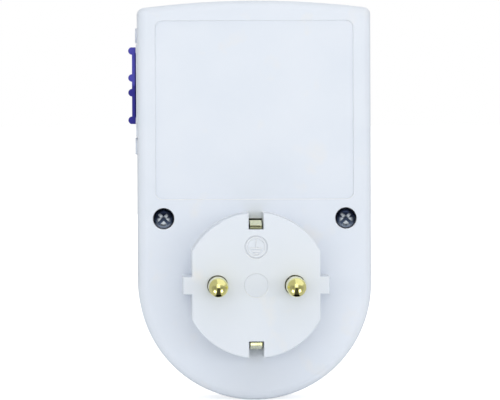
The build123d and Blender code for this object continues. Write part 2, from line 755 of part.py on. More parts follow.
def earth_strip(side):
    """A sprung strip: contact in the plug's notch, run through the casing, well clip."""
    well_y = WELL_FLOOR_Y - CLIP_START
    points = (
        (-STRIP_TIP_SET, STRIP_TIP_R),
        (BACK_Y / 2, STRIP_CREST_R),
        (BACK_Y, STRIP_RUN_R),
        (WELL_BACK_Y, STRIP_RUN_R),
        (well_y, CLIP_R),
        (well_y - CLIP_LENGTH * CLIP_MID_SHARE, CLIP_R - CLIP_BOW),
        (well_y - CLIP_LENGTH, CLIP_LIP_R),
    )
    profile = strip_profile([(y, side * z) for y, z in points], STRIP_T)
    return bar(profile, -STRIP_WIDTH / 2, STRIP_WIDTH / 2)


def earth_bridge():
    """The cross strap that joins the two earth strips behind the socket."""
    inner = STRIP_RUN_R - STRIP_T
    tail_y = BRIDGE_Y + BRIDGE_TAIL
    points = ((tail_y, inner), (BRIDGE_Y, inner), (BRIDGE_Y, -inner), (tail_y, -inner))
    half = BRIDGE_WIDTH / 2
    return bar(strip_profile(points, STRIP_T, STRIP_T), -half, half)


def socket_contact(side):
    """A channel of sprung strip that clamps one pin of the appliance's plug."""
    outer = CONTACT_HALF + CONTACT_T
    channel = block(-outer, outer, CONTACT_Y, CONTACT_BACK_Y, -OUTSIDE_CLAMP, CONTACT_TOP)
    inside = (CONTACT_Y - CUT, CONTACT_BACK_Y + CUT, -CONTACT_WEB, CONTACT_TOP + CUT)
    channel -= block(-CONTACT_HALF, CONTACT_HALF, *inside)
    channel = Pos(PIN_X, 0, 0) * channel
    return channel if side > 0 else Rot(0, 180, 0) * channel


def pin_plate():
    """The end of a conductor that a pin's tail is riveted through, about the pin."""
    front = BUSBAR_Y - BUSBAR_T
    top = OUTSIDE_CLAMP + BUSBAR_T
    plate = block(-PIN_PLATE_HALF, PIN_PLATE_HALF, front, BUSBAR_Y, -PIN_PLATE_LOW, top)
    return plate - rod(PIN_TAIL_R + TAIL_GAP, front - CUT, BUSBAR_Y + CUT)


def neutral_busbar():
    """Joins the neutral pin to the neutral socket contact."""
    reach = CONTACT_BACK_Y - NEUTRAL_LAP
    half = BUSBAR_WIDTH / 2
    arm = block(-half, half, reach, BUSBAR_Y, OUTSIDE_CLAMP, OUTSIDE_CLAMP + BUSBAR_T)
    return Pos(-PIN_X, 0, 0) * (pin_plate() + arm)


def live_busbar():
    """Joins the live pin to the switch terminal that the contact blade rocks in."""
    half = BUSBAR_WIDTH / 2
    arm = block(
        -half, half, TERMINAL_BACK_Y, BUSBAR_Y, OUTSIDE_CLAMP, OUTSIDE_CLAMP + BUSBAR_T
    )
    strip = Pos(PIN_X, 0, 0) * (pin_plate() + arm)
    pad_z = TERMINAL_BOTTOM + TERMINAL_PAD / 3
    rise = trace(Line((PIN_X, OUTSIDE_CLAMP), (SWITCH_X - RISE_SET, TERMINAL_BOTTOM)), BUSBAR_WIDTH)
    pad = Pos(SWITCH_X, pad_z) * Rectangle(BLADE_WIDTH, TERMINAL_PAD)
    strip += slab(rise + pad, TERMINAL_BACK_Y, LIVE_STRIP_BACK_Y)
    x0 = SWITCH_X - BLADE_WIDTH / 2
    x1 = SWITCH_X + BLADE_WIDTH / 2
    seat = block(
        x0, x1, TERMINAL_FRONT_Y, TERMINAL_BACK_Y, TERMINAL_BOTTOM, BLADE_ROLL_Z + TERMINAL_RISE
    )
    groove_r = BLADE_ROLL_R + RUNNING_GAP
    seat -= rod_x(groove_r, x0 - CUT, x1 + CUT, BLADE_Y, BLADE_ROLL_Z)
    mouth = (BLADE_Y - groove_r, BLADE_Y + groove_r, BLADE_ROLL_Z, BLADE_ROLL_Z + CUT)
    seat -= block(x0 - CUT, x1 + CUT, *mouth)
    return strip + seat


def load_strap():
    """Joins the fixed contact to the live socket contact."""
    left = PIN_X + CONTACT_HALF + CONTACT_T
    half = STRAP_WIDTH / 2
    run = trace(
        FilletPolyline(
            (SWITCH_X, BLADE_TOP),
            (SWITCH_X, BLADE_ROLL_Z),
            (left + half, STRAP_BEND_Z),
            (left + half, -CONTACT_TOP),
            radius=STRAP_BEND_R,
        ),
        STRAP_WIDTH,
    )
    strap = slab(run, STRAP_Y, STRAP_BACK_Y)
    wing_back = STRAP_BACK_Y + LOAD_LAP
    return strap + block(left, left + BUSBAR_T, STRAP_Y, wing_back, -CONTACT_TOP, CONTACT_TOP)


# ---- shutter ---------------------------------------------------------------------------


def shutter():
    """The turning safety shutter that covers both pin holes."""
    wings = sector(0, SHUTTER_R, 0, SHUTTER_HALF_ANGLE)
    wings += sector(0, SHUTTER_R, 180, SHUTTER_HALF_ANGLE)
    wings += Circle(SHUTTER_HUB_R)
    wings -= Circle(SHUTTER_POST_R + RUNNING_GAP)
    return slab(wings, SHUTTER_Y, SHUTTER_BACK_Y)


def shutter_clip():
    """The retaining ring on the shutter's post."""
    seat = SHUTTER_BACK_Y + RUNNING_GAP
    return tube(SHUTTER_CLIP_R, SHUTTER_POST_R + PRESS_GAP, seat, CONTACT_Y)


def shutter_spring():
    """The hairpin spring that turns the shutter back over the holes."""
    leg = SHUTTER_HUB_R + SPRING_WIRE / 2 + SPRING_GAP
    wing_edge = leg * math.tan(math.radians(SHUTTER_HALF_ANGLE))
    knee = wing_edge + 3 * SPRING_WIRE
    points = (
        (-SPRING_REACH, -SPRING_END_Z),
        (-leg, -knee),
        (0, -leg - 2 * SPRING_GAP),
        (leg, -knee),
        (SPRING_REACH, -SPRING_END_Z),
    )
    wire = trace(FilletPolyline(*points, radius=SPRING_BEND_R), SPRING_WIRE)
    return slab(wire, SHUTTER_Y + SPRING_SET, SHUTTER_Y + SPRING_SET + SPRING_WIRE)


# ---- dial and tappets ------------------------------------------------------------------


def on_dial(shape):
    """Moves a shape made about the Y axis to the dial's axis."""
    return Pos(0, 0, DIAL_Z) * shape


def tappet_angle(index):
    """The middle of one half-hour, in degrees."""
    return (index + 0.5) * 360 / TAPPET_COUNT


def dial():
    """The 24-hour dial: slotted rim, face, hub and the pocket for its screw."""
    rim = Circle(DIAL_R) - Circle(DIAL_RING_INNER_R)
    half_angle = TAPPET_ANGLE / 2 + math.degrees(TAPPET_GAP / TAPPET_INNER_R)
    inner = TAPPET_INNER_R - TAPPET_GAP
    outer = TAPPET_OUTER_R + TAPPET_GAP
    slots = [sector(inner, outer, tappet_angle(k), half_angle) for k in range(TAPPET_COUNT)]
    body = slab(rim - slots, DIAL_Y, DIAL_RING_BACK_Y)
    body += rod(DIAL_RING_INNER_R + BURY, DIAL_FACE_Y, DIAL_FACE_BACK_Y)
    body += rod(DIAL_HUB_R, DIAL_FACE_Y, DIAL_HUB_BACK_Y)
    body -= rod(ARBOR_R + RUNNING_GAP, DIAL_FACE_Y - CUT, DIAL_HUB_BACK_Y + CUT)
    body -= rod(DIAL_POCKET_R, DIAL_FACE_Y - CUT, DIAL_POCKET_Y)
    return on_dial(body)


def dial_gear():
    """The large gear that slips on the dial's hub, so the dial can be set by hand."""
    face = gear(DIAL_TEETH, DIAL_HUB_R + THREAD_GAP)
    return on_dial(slab(face, DIAL_GEAR_Y, DIAL_GEAR_BACK_Y))


def gear_clip():
    """The ring that holds the gear on the dial's hub."""
    clip_back = DIAL_GEAR_BACK_Y + CLIP_T
    return on_dial(tube(GEAR_CLIP_R, DIAL_HUB_R + PRESS_GAP, DIAL_GEAR_BACK_Y, clip_back))


def dial_arbor():
    """The dial's fixed shaft, riveted in the mechanism plate."""
    arbor = rod(ARBOR_R, DIAL_SCREW_Y, PLATE_BACK_Y)
    arbor += rod(ARBOR_FLANGE_R, PLATE_Y - ARBOR_FLANGE_T, PLATE_Y)
    hole_end = DIAL_SCREW_Y + DIAL_SCREW_LENGTH + CUT
    arbor -= rod(DIAL_SCREW_SHANK_R + THREAD_GAP, DIAL_SCREW_Y - CUT, hole_end)
    return on_dial(arbor)


def dial_screw():
    """The flat-head screw that keeps the dial on its arbor."""
    head_y = DIAL_SCREW_Y - DIAL_SCREW_T
    screw = rod(DIAL_SCREW_R, head_y, DIAL_SCREW_Y)
    screw += rod(DIAL_SCREW_SHANK_R, DIAL_SCREW_Y, DIAL_SCREW_Y + DIAL_SCREW_LENGTH)
    slot = Rectangle(2 * DIAL_SCREW_R, SCREW_SLOT)
    return on_dial(screw - slab(slot, head_y - CUT, head_y + SCREW_SLOT_DEPTH))


def dial_cap():
    """The domed cap over the dial's screw."""
    cap = rod(DIAL_CAP_R, DIAL_FACE_Y - DIAL_CAP_T, DIAL_FACE_Y)
    return on_dial(fillet(cap.edges().sort_by(Axis.Y)[0], DIAL_CAP_T * CAP_DOME))


def tappets(group):
    """Six half-hour tappets: blades in the dial's slots, with a foot behind the rim."""
    size = TAPPET_COUNT // TAPPET_GROUPS
    foot_y = DIAL_RING_BACK_Y + 2 * TAPPET_GAP
    foot_inner = TAPPET_INNER_R - TAPPET_FOOT_REACH
    foot_outer = TAPPET_OUTER_R + TAPPET_FOOT_REACH
    blades = []
    for index in range(group * size, (group + 1) * size):
        angle = tappet_angle(index)
        blade = sector(TAPPET_INNER_R, TAPPET_OUTER_R, angle, TAPPET_ANGLE / 2)
        foot = sector(foot_inner, foot_outer, angle, TAPPET_ANGLE / 2)
        solid = slab(blade, TAPPET_FRONT_Y, foot_y) + slab(foot, foot_y, TAPPET_BACK_Y)
        blades.append(on_dial(solid))
    return Compound(children=blades)


# ---- clockwork -------------------------------------------------------------------------


def mechanism_plate():
    """The plate that carries the arbors, the motor and the follower lever's lugs."""
    width = PLATE_LEFT + PLATE_RIGHT
    height = PLATE_TOP - PLATE_BOTTOM
    middle_z = (PLATE_TOP + PLATE_BOTTOM) / 2
    main = RectangleRounded(width, height, PLATE_CORNER_R)
    face = Pos((PLATE_RIGHT - PLATE_LEFT) / 2, middle_z) * main
    ear = RectangleRounded(PLATE_LEFT, PLATE_EAR_HEIGHT, PLATE_CORNER_R)
    face += Pos(PLATE_LEFT / 2, PLATE_TOP - PLATE_EAR_HEIGHT / 2) * ear
    face += Pos(PLATE_LEFT / 2, PLATE_BOTTOM + PLATE_EAR_HEIGHT / 2) * ear
    face -= Pos(0, DIAL_Z) * Circle(ARBOR_R + THREAD_GAP)
    face -= Pos(IDLER_X, DIAL_Z) * Circle(IDLER_ARBOR_R + THREAD_GAP)
    face -= Pos(MOTOR_X, MOTOR_Z) * Circle(MODULE * (PINION_TEETH / 2 + 2))
    for side in (1, -1):
        for height_z in (POST_Z_LOW, POST_Z_HIGH):
            face -= Pos(side * POST_X, height_z) * Circle(PLATE_SCREW_R + PILLAR_GAP)
    plate = slab(face, PLATE_Y, PLATE_BACK_Y)

    lug = make_face(
        Polyline(
            (PLATE_Y, PLATE_BOTTOM + LUG_FOOT),
            (PLATE_Y, LEVER_Z + LUG_BACK - LUG_BEVEL),
            (LEVER_Y - LUG_BEVEL, LEVER_Z + LUG_BACK),
            (LEVER_Y + LUG_BACK, LEVER_Z + LUG_BEVEL),
            (LEVER_Y + LUG_BACK, LEVER_Z - LUG_BACK),
            (PLATE_BACK_Y, PLATE_BOTTOM + LUG_FOOT),
            close=True,
        )
    )
    lug -= Pos(LEVER_Y, LEVER_Z) * Circle(LEVER_PIN_R + THREAD_GAP)
    plate += bar(lug, LUG_LEFT - LUG_T, LUG_LEFT)
    plate += bar(lug, LUG_RIGHT, LUG_RIGHT + LUG_T)
    half = STRAP_WIDTH / 2
    stay_top = PLATE_BOTTOM + PLATE_EAR_HEIGHT
    stay = (PLATE_BACK_Y - BURY, STRAP_Y, PLATE_BOTTOM, stay_top)
    return plate + block(SWITCH_X - half, SWITCH_X + half, *stay)


def plate_screws():
    """Four screws through the mechanism plate into the front shell's posts."""
    screws = []
    for side in (1, -1):
        for height in (POST_Z_LOW, POST_Z_HIGH):
            head_y = PLATE_BACK_Y + PLATE_SCREW_HEAD_T
            screw = rod(PLATE_SCREW_HEAD_R, PLATE_BACK_Y, head_y)
            screw += rod(PLATE_SCREW_R, PLATE_BACK_Y - PLATE_SCREW_LENGTH, PLATE_BACK_Y)
            for turn in (0, 90):
                arm = Rot(0, 0, turn) * Rectangle(PLATE_CROSS_LENGTH, PLATE_CROSS_WIDTH)
                screw -= slab(arm, head_y - PLATE_CROSS_DEPTH, head_y + CUT)
            screws.append(Pos(side * POST_X, 0, height) * screw)
    return Compound(children=screws)


def idler_arbor():
    """The idler's fixed shaft, with a riveted front end."""
    front = DIAL_GEAR_Y - ARBOR_TAIL
    arbor = rod(IDLER_ARBOR_R, front, PLATE_BACK_Y, IDLER_X, DIAL_Z)
    return arbor + rod(ARBOR_RIVET_R, front - ARBOR_RIVET_T, front, IDLER_X, DIAL_Z)


def idler_wheel():
    """Wheel and pinion in one piece: the wheel takes the motor's drive."""
    bore = IDLER_ARBOR_R + RUNNING_GAP
    pinion = gear(PINION_TEETH, bore, 180 / PINION_TEETH)
    wheel = gear(IDLER_TEETH, bore)
    body = slab(pinion, DIAL_GEAR_Y - PINION_OVERRUN, IDLER_GEAR_Y)
    body += slab(wheel, IDLER_GEAR_Y, IDLER_GEAR_BACK_Y)
    body += tube(IDLER_HUB_R, bore, IDLER_GEAR_BACK_Y, PLATE_Y - 2 * TAPPET_GAP)
    return Pos(IDLER_X, 0, DIAL_Z) * body


def at_motor(shape):
    """Moves a shape made about the Y axis to the motor's axis."""
    return Pos(MOTOR_X, 0, MOTOR_Z) * shape


def motor_can():
    """The motor's steel cup, open at the back."""
    can = rod(MOTOR_R, PLATE_BACK_Y, MOTOR_BACK_Y)
    can -= rod(MOTOR_R - MOTOR_WALL, PLATE_BACK_Y + MOTOR_WALL, MOTOR_BACK_Y + CUT)
    can -= rod(SHAFT_R + RUNNING_GAP, PLATE_BACK_Y - CUT, MOTOR_BACK_Y)
    can = at_motor(can)
    for offset_x in LEAD_X:
        x = MOTOR_X + offset_x
        z = MOTOR_Z - MOTOR_R
        can -= Pos(x, LEAD_Y, z) * Cylinder(LEAD_R + LEAD_HOLE_GAP, 4 * CUT)
    return can


def motor_cover():
    """The disc that closes the motor and holds its rear bearing."""
    cover = tube(MOTOR_R, SHAFT_R + RUNNING_GAP, MOTOR_BACK_Y, MOTOR_BACK_Y + MOTOR_WALL)
    inner = MOTOR_R - MOTOR_WALL - RUNNING_GAP
    lip = tube(inner, inner - COVER_LIP_T, MOTOR_BACK_Y - COVER_LIP, MOTOR_BACK_Y)
    return at_motor(cover + lip)


def motor_coil():
    """The ring-shaped winding on its bobbin."""
    front = PLATE_BACK_Y + MOTOR_WALL
    back = MOTOR_BACK_Y - COVER_LIP
    coil = tube(COIL_OUTER_R - BOBBIN_STEP, COIL_INNER_R, front + BOBBIN_T, back - BOBBIN_T)
    for flange in (front, back - BOBBIN_T):
        coil += tube(COIL_OUTER_R, COIL_INNER_R, flange, flange + BOBBIN_T)
    return at_motor(coil)


def motor_rotor():
    """The magnet rotor and its shaft."""
    front = PLATE_BACK_Y + MOTOR_WALL + ROTOR_END_GAP
    back = MOTOR_BACK_Y - ROTOR_END_GAP
    hollow = tube(ROTOR_R - ROTOR_RIM, SHAFT_R + ROTOR_HUB, front + ROTOR_WEB, back + CUT)
    rotor = rod(ROTOR_R, front, back) - hollow
    rotor += rod(SHAFT_R, IDLER_GEAR_Y - PINION_OVERRUN, MOTOR_BACK_Y + MOTOR_WALL)
    return at_motor(rotor)


def rotor_pinion():
    """The small gear pressed on the rotor's shaft."""
    phase = (ROTOR_BEARING + 180) + 180 / PINION_TEETH
    face = gear(PINION_TEETH, SHAFT_R + PRESS_GAP, phase)
    front = IDLER_GEAR_Y - PINION_OVERRUN / 2
    return at_motor(slab(face, front, PLATE_Y - 2 * TAPPET_GAP))


def motor_leads():
    """The two insulated wires from the winding to the live and neutral conductors."""
    start_z = MOTOR_Z - MOTOR_R + 2 * LEAD_R
    left = MOTOR_X + LEAD_X[0]
    right = MOTOR_X + LEAD_X[1]
    neutral_y = CONTACT_BACK_Y - LEAD_SET
    neutral = (
        (left, LEAD_Y, start_z),
        (left, LEAD_Y, start_z - LEAD_DROP),
        (-PIN_X, neutral_y, LEAD_TURN_Z),
        (-PIN_X, neutral_y, OUTSIDE_CLAMP + BUSBAR_T),
    )
    live_y = LIVE_STRIP_BACK_Y + LEAD_RISE
    live_x = (PIN_X + SWITCH_X) / 2
    live_z = (OUTSIDE_CLAMP + TERMINAL_BOTTOM) / 2
    live = (
        (right, LEAD_Y, start_z),
        (right, LEAD_Y, start_z - LEAD_DROP),
        (LEAD_X[1], live_y, LEAD_TURN_Z),
        (live_x, live_y, live_z),
        (live_x, LIVE_STRIP_BACK_Y, live_z),
    )
    wires = []
    for route in (neutral, live):
        path = FilletPolyline(*route, radius=LEAD_BEND_R)
        end = Plane(origin=path @ 0, z_dir=path % 0)
        wires.append(sweep(end * Circle(LEAD_R), path=path))
    return Compound(children=wires)


# ---- follower, switch and slider -------------------------------------------------------


def follower_lever():
    """Rocks when a pushed-in tappet, or the slider, presses its nose or peg."""
    hub = rod_x(LEVER_HUB_R, LEVER_LEFT, LEVER_HUB_RIGHT, LEVER_Y, LEVER_Z)
    upper = trace(Line((LEVER_Y, LEVER_Z), (PEG_Y + ARM_LEAD, PEG_Z)), ARM_T)
    upper += Pos(PEG_Y, PEG_Z) * Circle(PEG_BOSS_R)
    upper += Pos(NOSE_Y, DIAL_Z) * Circle(NOSE_R)
    upper += Pos(NOSE_Y + ARM_LEAD, DIAL_Z) * Rectangle(2 * ARM_LEAD, 2 * NOSE_R)
    foot_front = BLADE_BACK_Y + TIP_GAP
    foot_y = foot_front + FOOT_HEIGHT / 2
    lower = trace(Line((LEVER_Y, LEVER_Z), (foot_y, FOOT_Z)), ARM_T)
    foot = Pos(foot_y, FOOT_Z) * Circle(FOOT_HEIGHT / 2)
    lever = hub + bar(upper, LEVER_LEFT, LEVER_RIGHT)
    lever += bar(lower + foot, SWITCH_X + BLADE_WIDTH / 2 + LEVER_SIDE_GAP, LEVER_RIGHT)
    lever += bar(foot, SWITCH_X - BLADE_WIDTH / 2 + LEVER_SIDE_GAP, LEVER_RIGHT)
    lever += rod_x(PEG_R, LEVER_RIGHT - BURY, PEG_REACH, PEG_Y, PEG_Z)
    bore = LEVER_PIN_R + RUNNING_GAP
    return lever - rod_x(bore, LEVER_LEFT - CUT, LEVER_HUB_RIGHT + CUT, LEVER_Y, LEVER_Z)


def lever_pin():
    """The follower lever's fixed pivot pin, with a head outside the left lug."""
    left = LUG_LEFT - LUG_T
    pin = rod_x(LEVER_PIN_R, left, LUG_RIGHT + LUG_T, LEVER_Y, LEVER_Z)
    return pin + rod_x(LEVER_PIN_HEAD_R, left - LEVER_PIN_HEAD_T, left, LEVER_Y, LEVER_Z)


def follower_spring():
    """The coil round the pivot pin that turns the lever towards the tappets."""
    wire = SPRING_WIRE / 2
    start = LUG_LEFT + wire + SPRING_GAP
    height = LEVER_LEFT - LUG_LEFT - SPRING_WIRE - 2 * SPRING_GAP
    coil_r = LEVER_PIN_R + LEVER_SPRING_GAP + SPRING_WIRE
    path = Helix(pitch=height / LEVER_SPRING_TURNS, height=height, radius=coil_r)
    end = Plane(origin=path @ 0, z_dir=path % 0)
    coil = sweep(end * Circle(wire), path=path)
    return Pos(start, LEVER_Y, LEVER_Z) * Rot(0, 90, 0) * coil


def contact_blade():
    """The rocking blade of the switch, rolled at the bottom and held by its terminal."""
    x0 = SWITCH_X - BLADE_WIDTH / 2
    x1 = SWITCH_X + BLADE_WIDTH / 2
    blade = block(x0, x1, BLADE_FRONT_Y, BLADE_BACK_Y, BLADE_ROLL_Z, BLADE_TOP)
    return blade + rod_x(BLADE_ROLL_R, x0, x1, BLADE_Y, BLADE_ROLL_Z)


def contact_tip(y_front):
    """A silver contact button."""
    return rod(TIP_R, y_front, y_front + TIP_T, SWITCH_X, TIP_Z)


def slider_flank():
    """The slider seen from the side: widest at mid height."""
    return make_face(
        Polyline(
            (-SLIDER_HALF_END, SLIDER_LOW),
            (SLIDER_HALF_END, SLIDER_LOW),
            (SLIDER_HALF_MID, SLIDER_MID),
            (SLIDER_HALF_END, SLIDER_HIGH),
            (-SLIDER_HALF_END, SLIDER_HIGH),
            (-SLIDER_HALF_MID, SLIDER_MID),
            close=True,
        )
    )


def override_slider():
    """The side slider: ribbed thumb piece, neck, inner rail and the foot that works the lever."""
    rail_x = CASE_IN_X - RAIL_GAP
    foot_x = CASE_R + PAD_PROUD + SLIDER_GAP
    plate_x = foot_x + THUMB_LIFT
    reach_x = SLIDER_FACE_X + 2 * GRIP_R
    thumb = rectangle(foot_x, SLIDER_FACE_X, SLIDER_LOW, SLIDER_HIGH)
    for offset_z in GRIP_OFFSETS:
        thumb += Pos(SLIDER_FACE_X, SLIDER_MID + offset_z) * Circle(GRIP_R)
    thumb -= rectangle(foot_x - GRIP_R, plate_x, NECK_LOW + THUMB_LIFT, NECK_HIGH - THUMB_LIFT)
    slider = slab(thumb, SLIDER_Y - SLIDER_HALF_MID, SLIDER_Y + SLIDER_HALF_MID)
    slider &= bar(Pos(SLIDER_Y, 0) * slider_flank(), foot_x, reach_x)
    neck_front = SLIDER_Y - NECK_HALF
    neck_back = SLIDER_Y + NECK_HALF
    slider += block(rail_x - BURY, foot_x, neck_front, neck_back, NECK_LOW, NECK_HIGH)
    waist = (neck_front + THUMB_WAIST_SET, neck_back - THUMB_WAIST_SET, NECK_LOW, NECK_HIGH)
    slider += block(foot_x - BURY, plate_x + BURY, *waist)
    slider += block(RAIL_IN, rail_x, RAIL_FRONT, RAIL_BACK, RAIL_LOW, RAIL_HIGH)
    slider += block(RAIL_IN, rail_x, SLIDER_FOOT_FRONT, RAIL_FRONT, SLIDER_ARM_LOW, SLIDER_ARM_TOP)
    foot = make_face(
        Polyline(
            (SLIDER_FOOT_FRONT, SLIDER_ARM_LOW),
            (SLIDER_FOOT_BACK, SLIDER_ARM_LOW),
            (SLIDER_FOOT_BACK, SLIDER_FOOT_TOP - SLIDER_FOOT_BEVEL),
            (SLIDER_FOOT_BACK - SLIDER_FOOT_BEVEL, SLIDER_FOOT_TOP),
            (SLIDER_FOOT_FRONT, SLIDER_FOOT_TOP),
            close=True,
        )
    )
    slider += bar(foot, SLIDER_FOOT_IN, rail_x)
    for place in (DETENT_Z, DETENT_Z + SLIDER_TRAVEL):
        notch_r = DETENT_R + DETENT_BUMP_SET
        slider -= rod_x(notch_r, RAIL_IN - CUT, rail_x + CUT, RAIL_BACK + DETENT_BUMP_SET, place)
    return slider


def detent_spring():
    """The leaf whose bump drops into one of the two notches in the slider's rail."""
    flat_y = DETENT_SEAT_Y - DETENT_STRIP / 2
    bump_y = RAIL_BACK + DETENT_STRIP
    ramp = DETENT_HALF / 2
    points = (
        (flat_y, DETENT_Z - DETENT_HALF),
        (flat_y, DETENT_Z - ramp),
        (bump_y, DETENT_Z - DETENT_R),
        (bump_y, DETENT_Z + DETENT_R),
        (flat_y, DETENT_Z + ramp),
        (flat_y, DETENT_Z + DETENT_HALF),
    )
    profile = trace(FilletPolyline(*points, radius=DETENT_BEND_R), DETENT_STRIP)
    profile += Pos(RAIL_BACK + DETENT_BUMP_SET, DETENT_Z) * Circle(DETENT_R)
    return bar(profile, RAIL_IN + DETENT_SIDE_GAP, CASE_IN_X - RAIL_GAP - DETENT_SIDE_GAP)


# ---- all nodes -------------------------------------------------------------------------


def all_nodes():
    """Every node's name and shape."""
    nodes = {
        "rear_shell": rear_shell(),
        "front_shell": front_shell(),
        "case_screws": case_screws(),
        "plug_pin_live": plug_pin(1),
        "plug_pin_neutral": plug_pin(-1),
        "earth_strip_upper": earth_strip(1),
        "earth_strip_lower": earth_strip(-1),
        "earth_bridge": earth_bridge(),
        "socket_contact_live": socket_contact(1),
        "socket_contact_neutral": socket_contact(-1),
        "neutral_busbar": neutral_busbar(),
        "live_busbar": live_busbar(),
        "load_strap": load_strap(),
        "shutter": shutter(),
        "shutter_clip": shutter_clip(),
        "shutter_spring": shutter_spring(),
        "dial": dial(),
        "dial_gear": dial_gear(),
        "gear_clip": gear_clip(),
        "dial_arbor": dial_arbor(),
        "dial_screw": dial_screw(),
        "dial_cap": dial_cap(),
        "mechanism_plate": mechanism_plate(),
        "plate_screws": plate_screws(),
        "idler_arbor": idler_arbor(),
        "idler_wheel": idler_wheel(),
        "motor_can": motor_can(),
        "motor_cover": motor_cover(),
        "motor_coil": motor_coil(),
        "motor_rotor": motor_rotor(),
        "rotor_pinion": rotor_pinion(),
        "motor_leads": motor_leads(),
        "follower_lever": follower_lever(),
        "lever_pin": lever_pin(),
        "follower_spring": follower_spring(),
        "contact_blade": contact_blade(),
        "moving_contact_tip": contact_tip(BLADE_FRONT_Y - TIP_T),
        "fixed_contact_tip": contact_tip(STRAP_BACK_Y),
        "override_slider": override_slider(),
        "detent_spring": detent_spring(),
    }
    for group in range(TAPPET_GROUPS):
        nodes[f"tappets_{group + 1:02d}"] = tappets(group)
    return nodes


os.makedirs("parts", exist_ok=True)
for name, shape in all_nodes().items():
    export_step(shape, f"parts/{name}.step")
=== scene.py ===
"""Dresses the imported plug-in timer switch: finishes, turned pins, printed dial and studio."""

import json
import logging
import math
from dataclasses import dataclass
from enum import Enum
from typing import Iterable, Sequence, Union

import bmesh
import bpy
from mathutils import Matrix, Vector

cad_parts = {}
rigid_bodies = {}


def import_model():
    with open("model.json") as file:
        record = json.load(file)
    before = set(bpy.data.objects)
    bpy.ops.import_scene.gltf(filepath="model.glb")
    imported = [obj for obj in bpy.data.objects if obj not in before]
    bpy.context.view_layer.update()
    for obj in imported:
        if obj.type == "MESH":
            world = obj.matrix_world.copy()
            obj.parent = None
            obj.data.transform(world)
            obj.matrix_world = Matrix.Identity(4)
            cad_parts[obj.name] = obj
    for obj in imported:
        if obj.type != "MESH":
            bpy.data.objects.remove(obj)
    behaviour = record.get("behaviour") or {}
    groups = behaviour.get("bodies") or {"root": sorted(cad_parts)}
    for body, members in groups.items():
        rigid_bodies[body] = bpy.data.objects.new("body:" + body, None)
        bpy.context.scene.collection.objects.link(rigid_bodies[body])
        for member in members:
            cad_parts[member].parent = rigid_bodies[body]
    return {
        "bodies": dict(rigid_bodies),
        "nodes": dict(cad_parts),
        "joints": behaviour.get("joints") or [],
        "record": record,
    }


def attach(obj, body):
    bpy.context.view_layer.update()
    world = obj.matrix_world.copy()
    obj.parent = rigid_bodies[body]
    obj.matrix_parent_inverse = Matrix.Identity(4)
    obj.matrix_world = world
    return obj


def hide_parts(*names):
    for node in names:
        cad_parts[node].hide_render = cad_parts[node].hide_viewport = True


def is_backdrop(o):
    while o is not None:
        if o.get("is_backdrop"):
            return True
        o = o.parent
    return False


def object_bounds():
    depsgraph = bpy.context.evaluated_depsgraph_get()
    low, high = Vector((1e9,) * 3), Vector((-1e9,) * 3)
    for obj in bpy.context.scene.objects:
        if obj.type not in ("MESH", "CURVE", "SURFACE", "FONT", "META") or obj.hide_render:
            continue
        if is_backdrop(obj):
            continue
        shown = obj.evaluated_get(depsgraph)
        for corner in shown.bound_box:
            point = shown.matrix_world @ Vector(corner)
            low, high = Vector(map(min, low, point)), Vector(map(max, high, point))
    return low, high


LOG = logging.getLogger("timer_switch")
MM = 0.001
FULL_TURN = 360.0

# The curve between a display's colours and linear light.
DISPLAY_TOE = 0.04045
DISPLAY_SLOPE = 12.92
DISPLAY_LIFT = 0.055
DISPLAY_GAMMA = 2.4

# Where most of a noise's values lie, how finely noises and corners are worked out, and how wide
# the patches of gloss are beside those of colour.
NOISE_LOW = 0.3
NOISE_HIGH = 0.7
RELIEF_DETAIL = 3.0
PATCH_DETAIL = 4.0
GLOSS_DETAIL = 5.0
SMUDGE_DETAIL = 6.0
GLOSS_SHARE = 0.37
CORNER_SAMPLES = 6

# The width of one band of the wave node at a scale of 1, and how much wound wire strays.
WAVE_BAND = 0.314
WAVE_STRAY = 0.4

Rgb = tuple[int, int, int]
Point2 = tuple[float, float]
Point3 = tuple[float, float, float]
Socket = bpy.types.NodeSocket
Value = Union[float, Sequence[float], Socket]


def linear(color: Rgb) -> tuple[float, float, float, float]:
    """Turns a display colour into the linear one that a shader takes.

    Args:
        color: Red, green and blue as displayed, from 0 to 255.

    Returns:
        Linear red, green and blue, and a full alpha.
    """
    parts = []
    for part in color:
        share = part / 255
        if share <= DISPLAY_TOE:
            parts.append(share / DISPLAY_SLOPE)
        else:
            parts.append(((share + DISPLAY_LIFT) / (1 + DISPLAY_LIFT)) ** DISPLAY_GAMMA)
    return (parts[0], parts[1], parts[2], 1.0)


# ---- finishes --------------------------------------------------------------------------


class Marks(Enum):
    """How a surface is marked by the way it was made."""

    GRAIN = "fine even grain"
    RINGS = "turning rings round the Y axis"
    LENGTHWISE = "drawing lines along Y"
    UPRIGHT = "rolling lines along Z"
    WOUND = "turns of fine wire round the Y axis"


# How closely the marks follow each other along each axis.
STRETCH: dict[Marks, Point3] = {
    Marks.GRAIN: (1, 1, 1),
    Marks.RINGS: (0.05, 1, 0.05),
    Marks.LENGTHWISE: (1, 0.03, 1),
    Marks.UPRIGHT: (1, 1, 0.03),
}


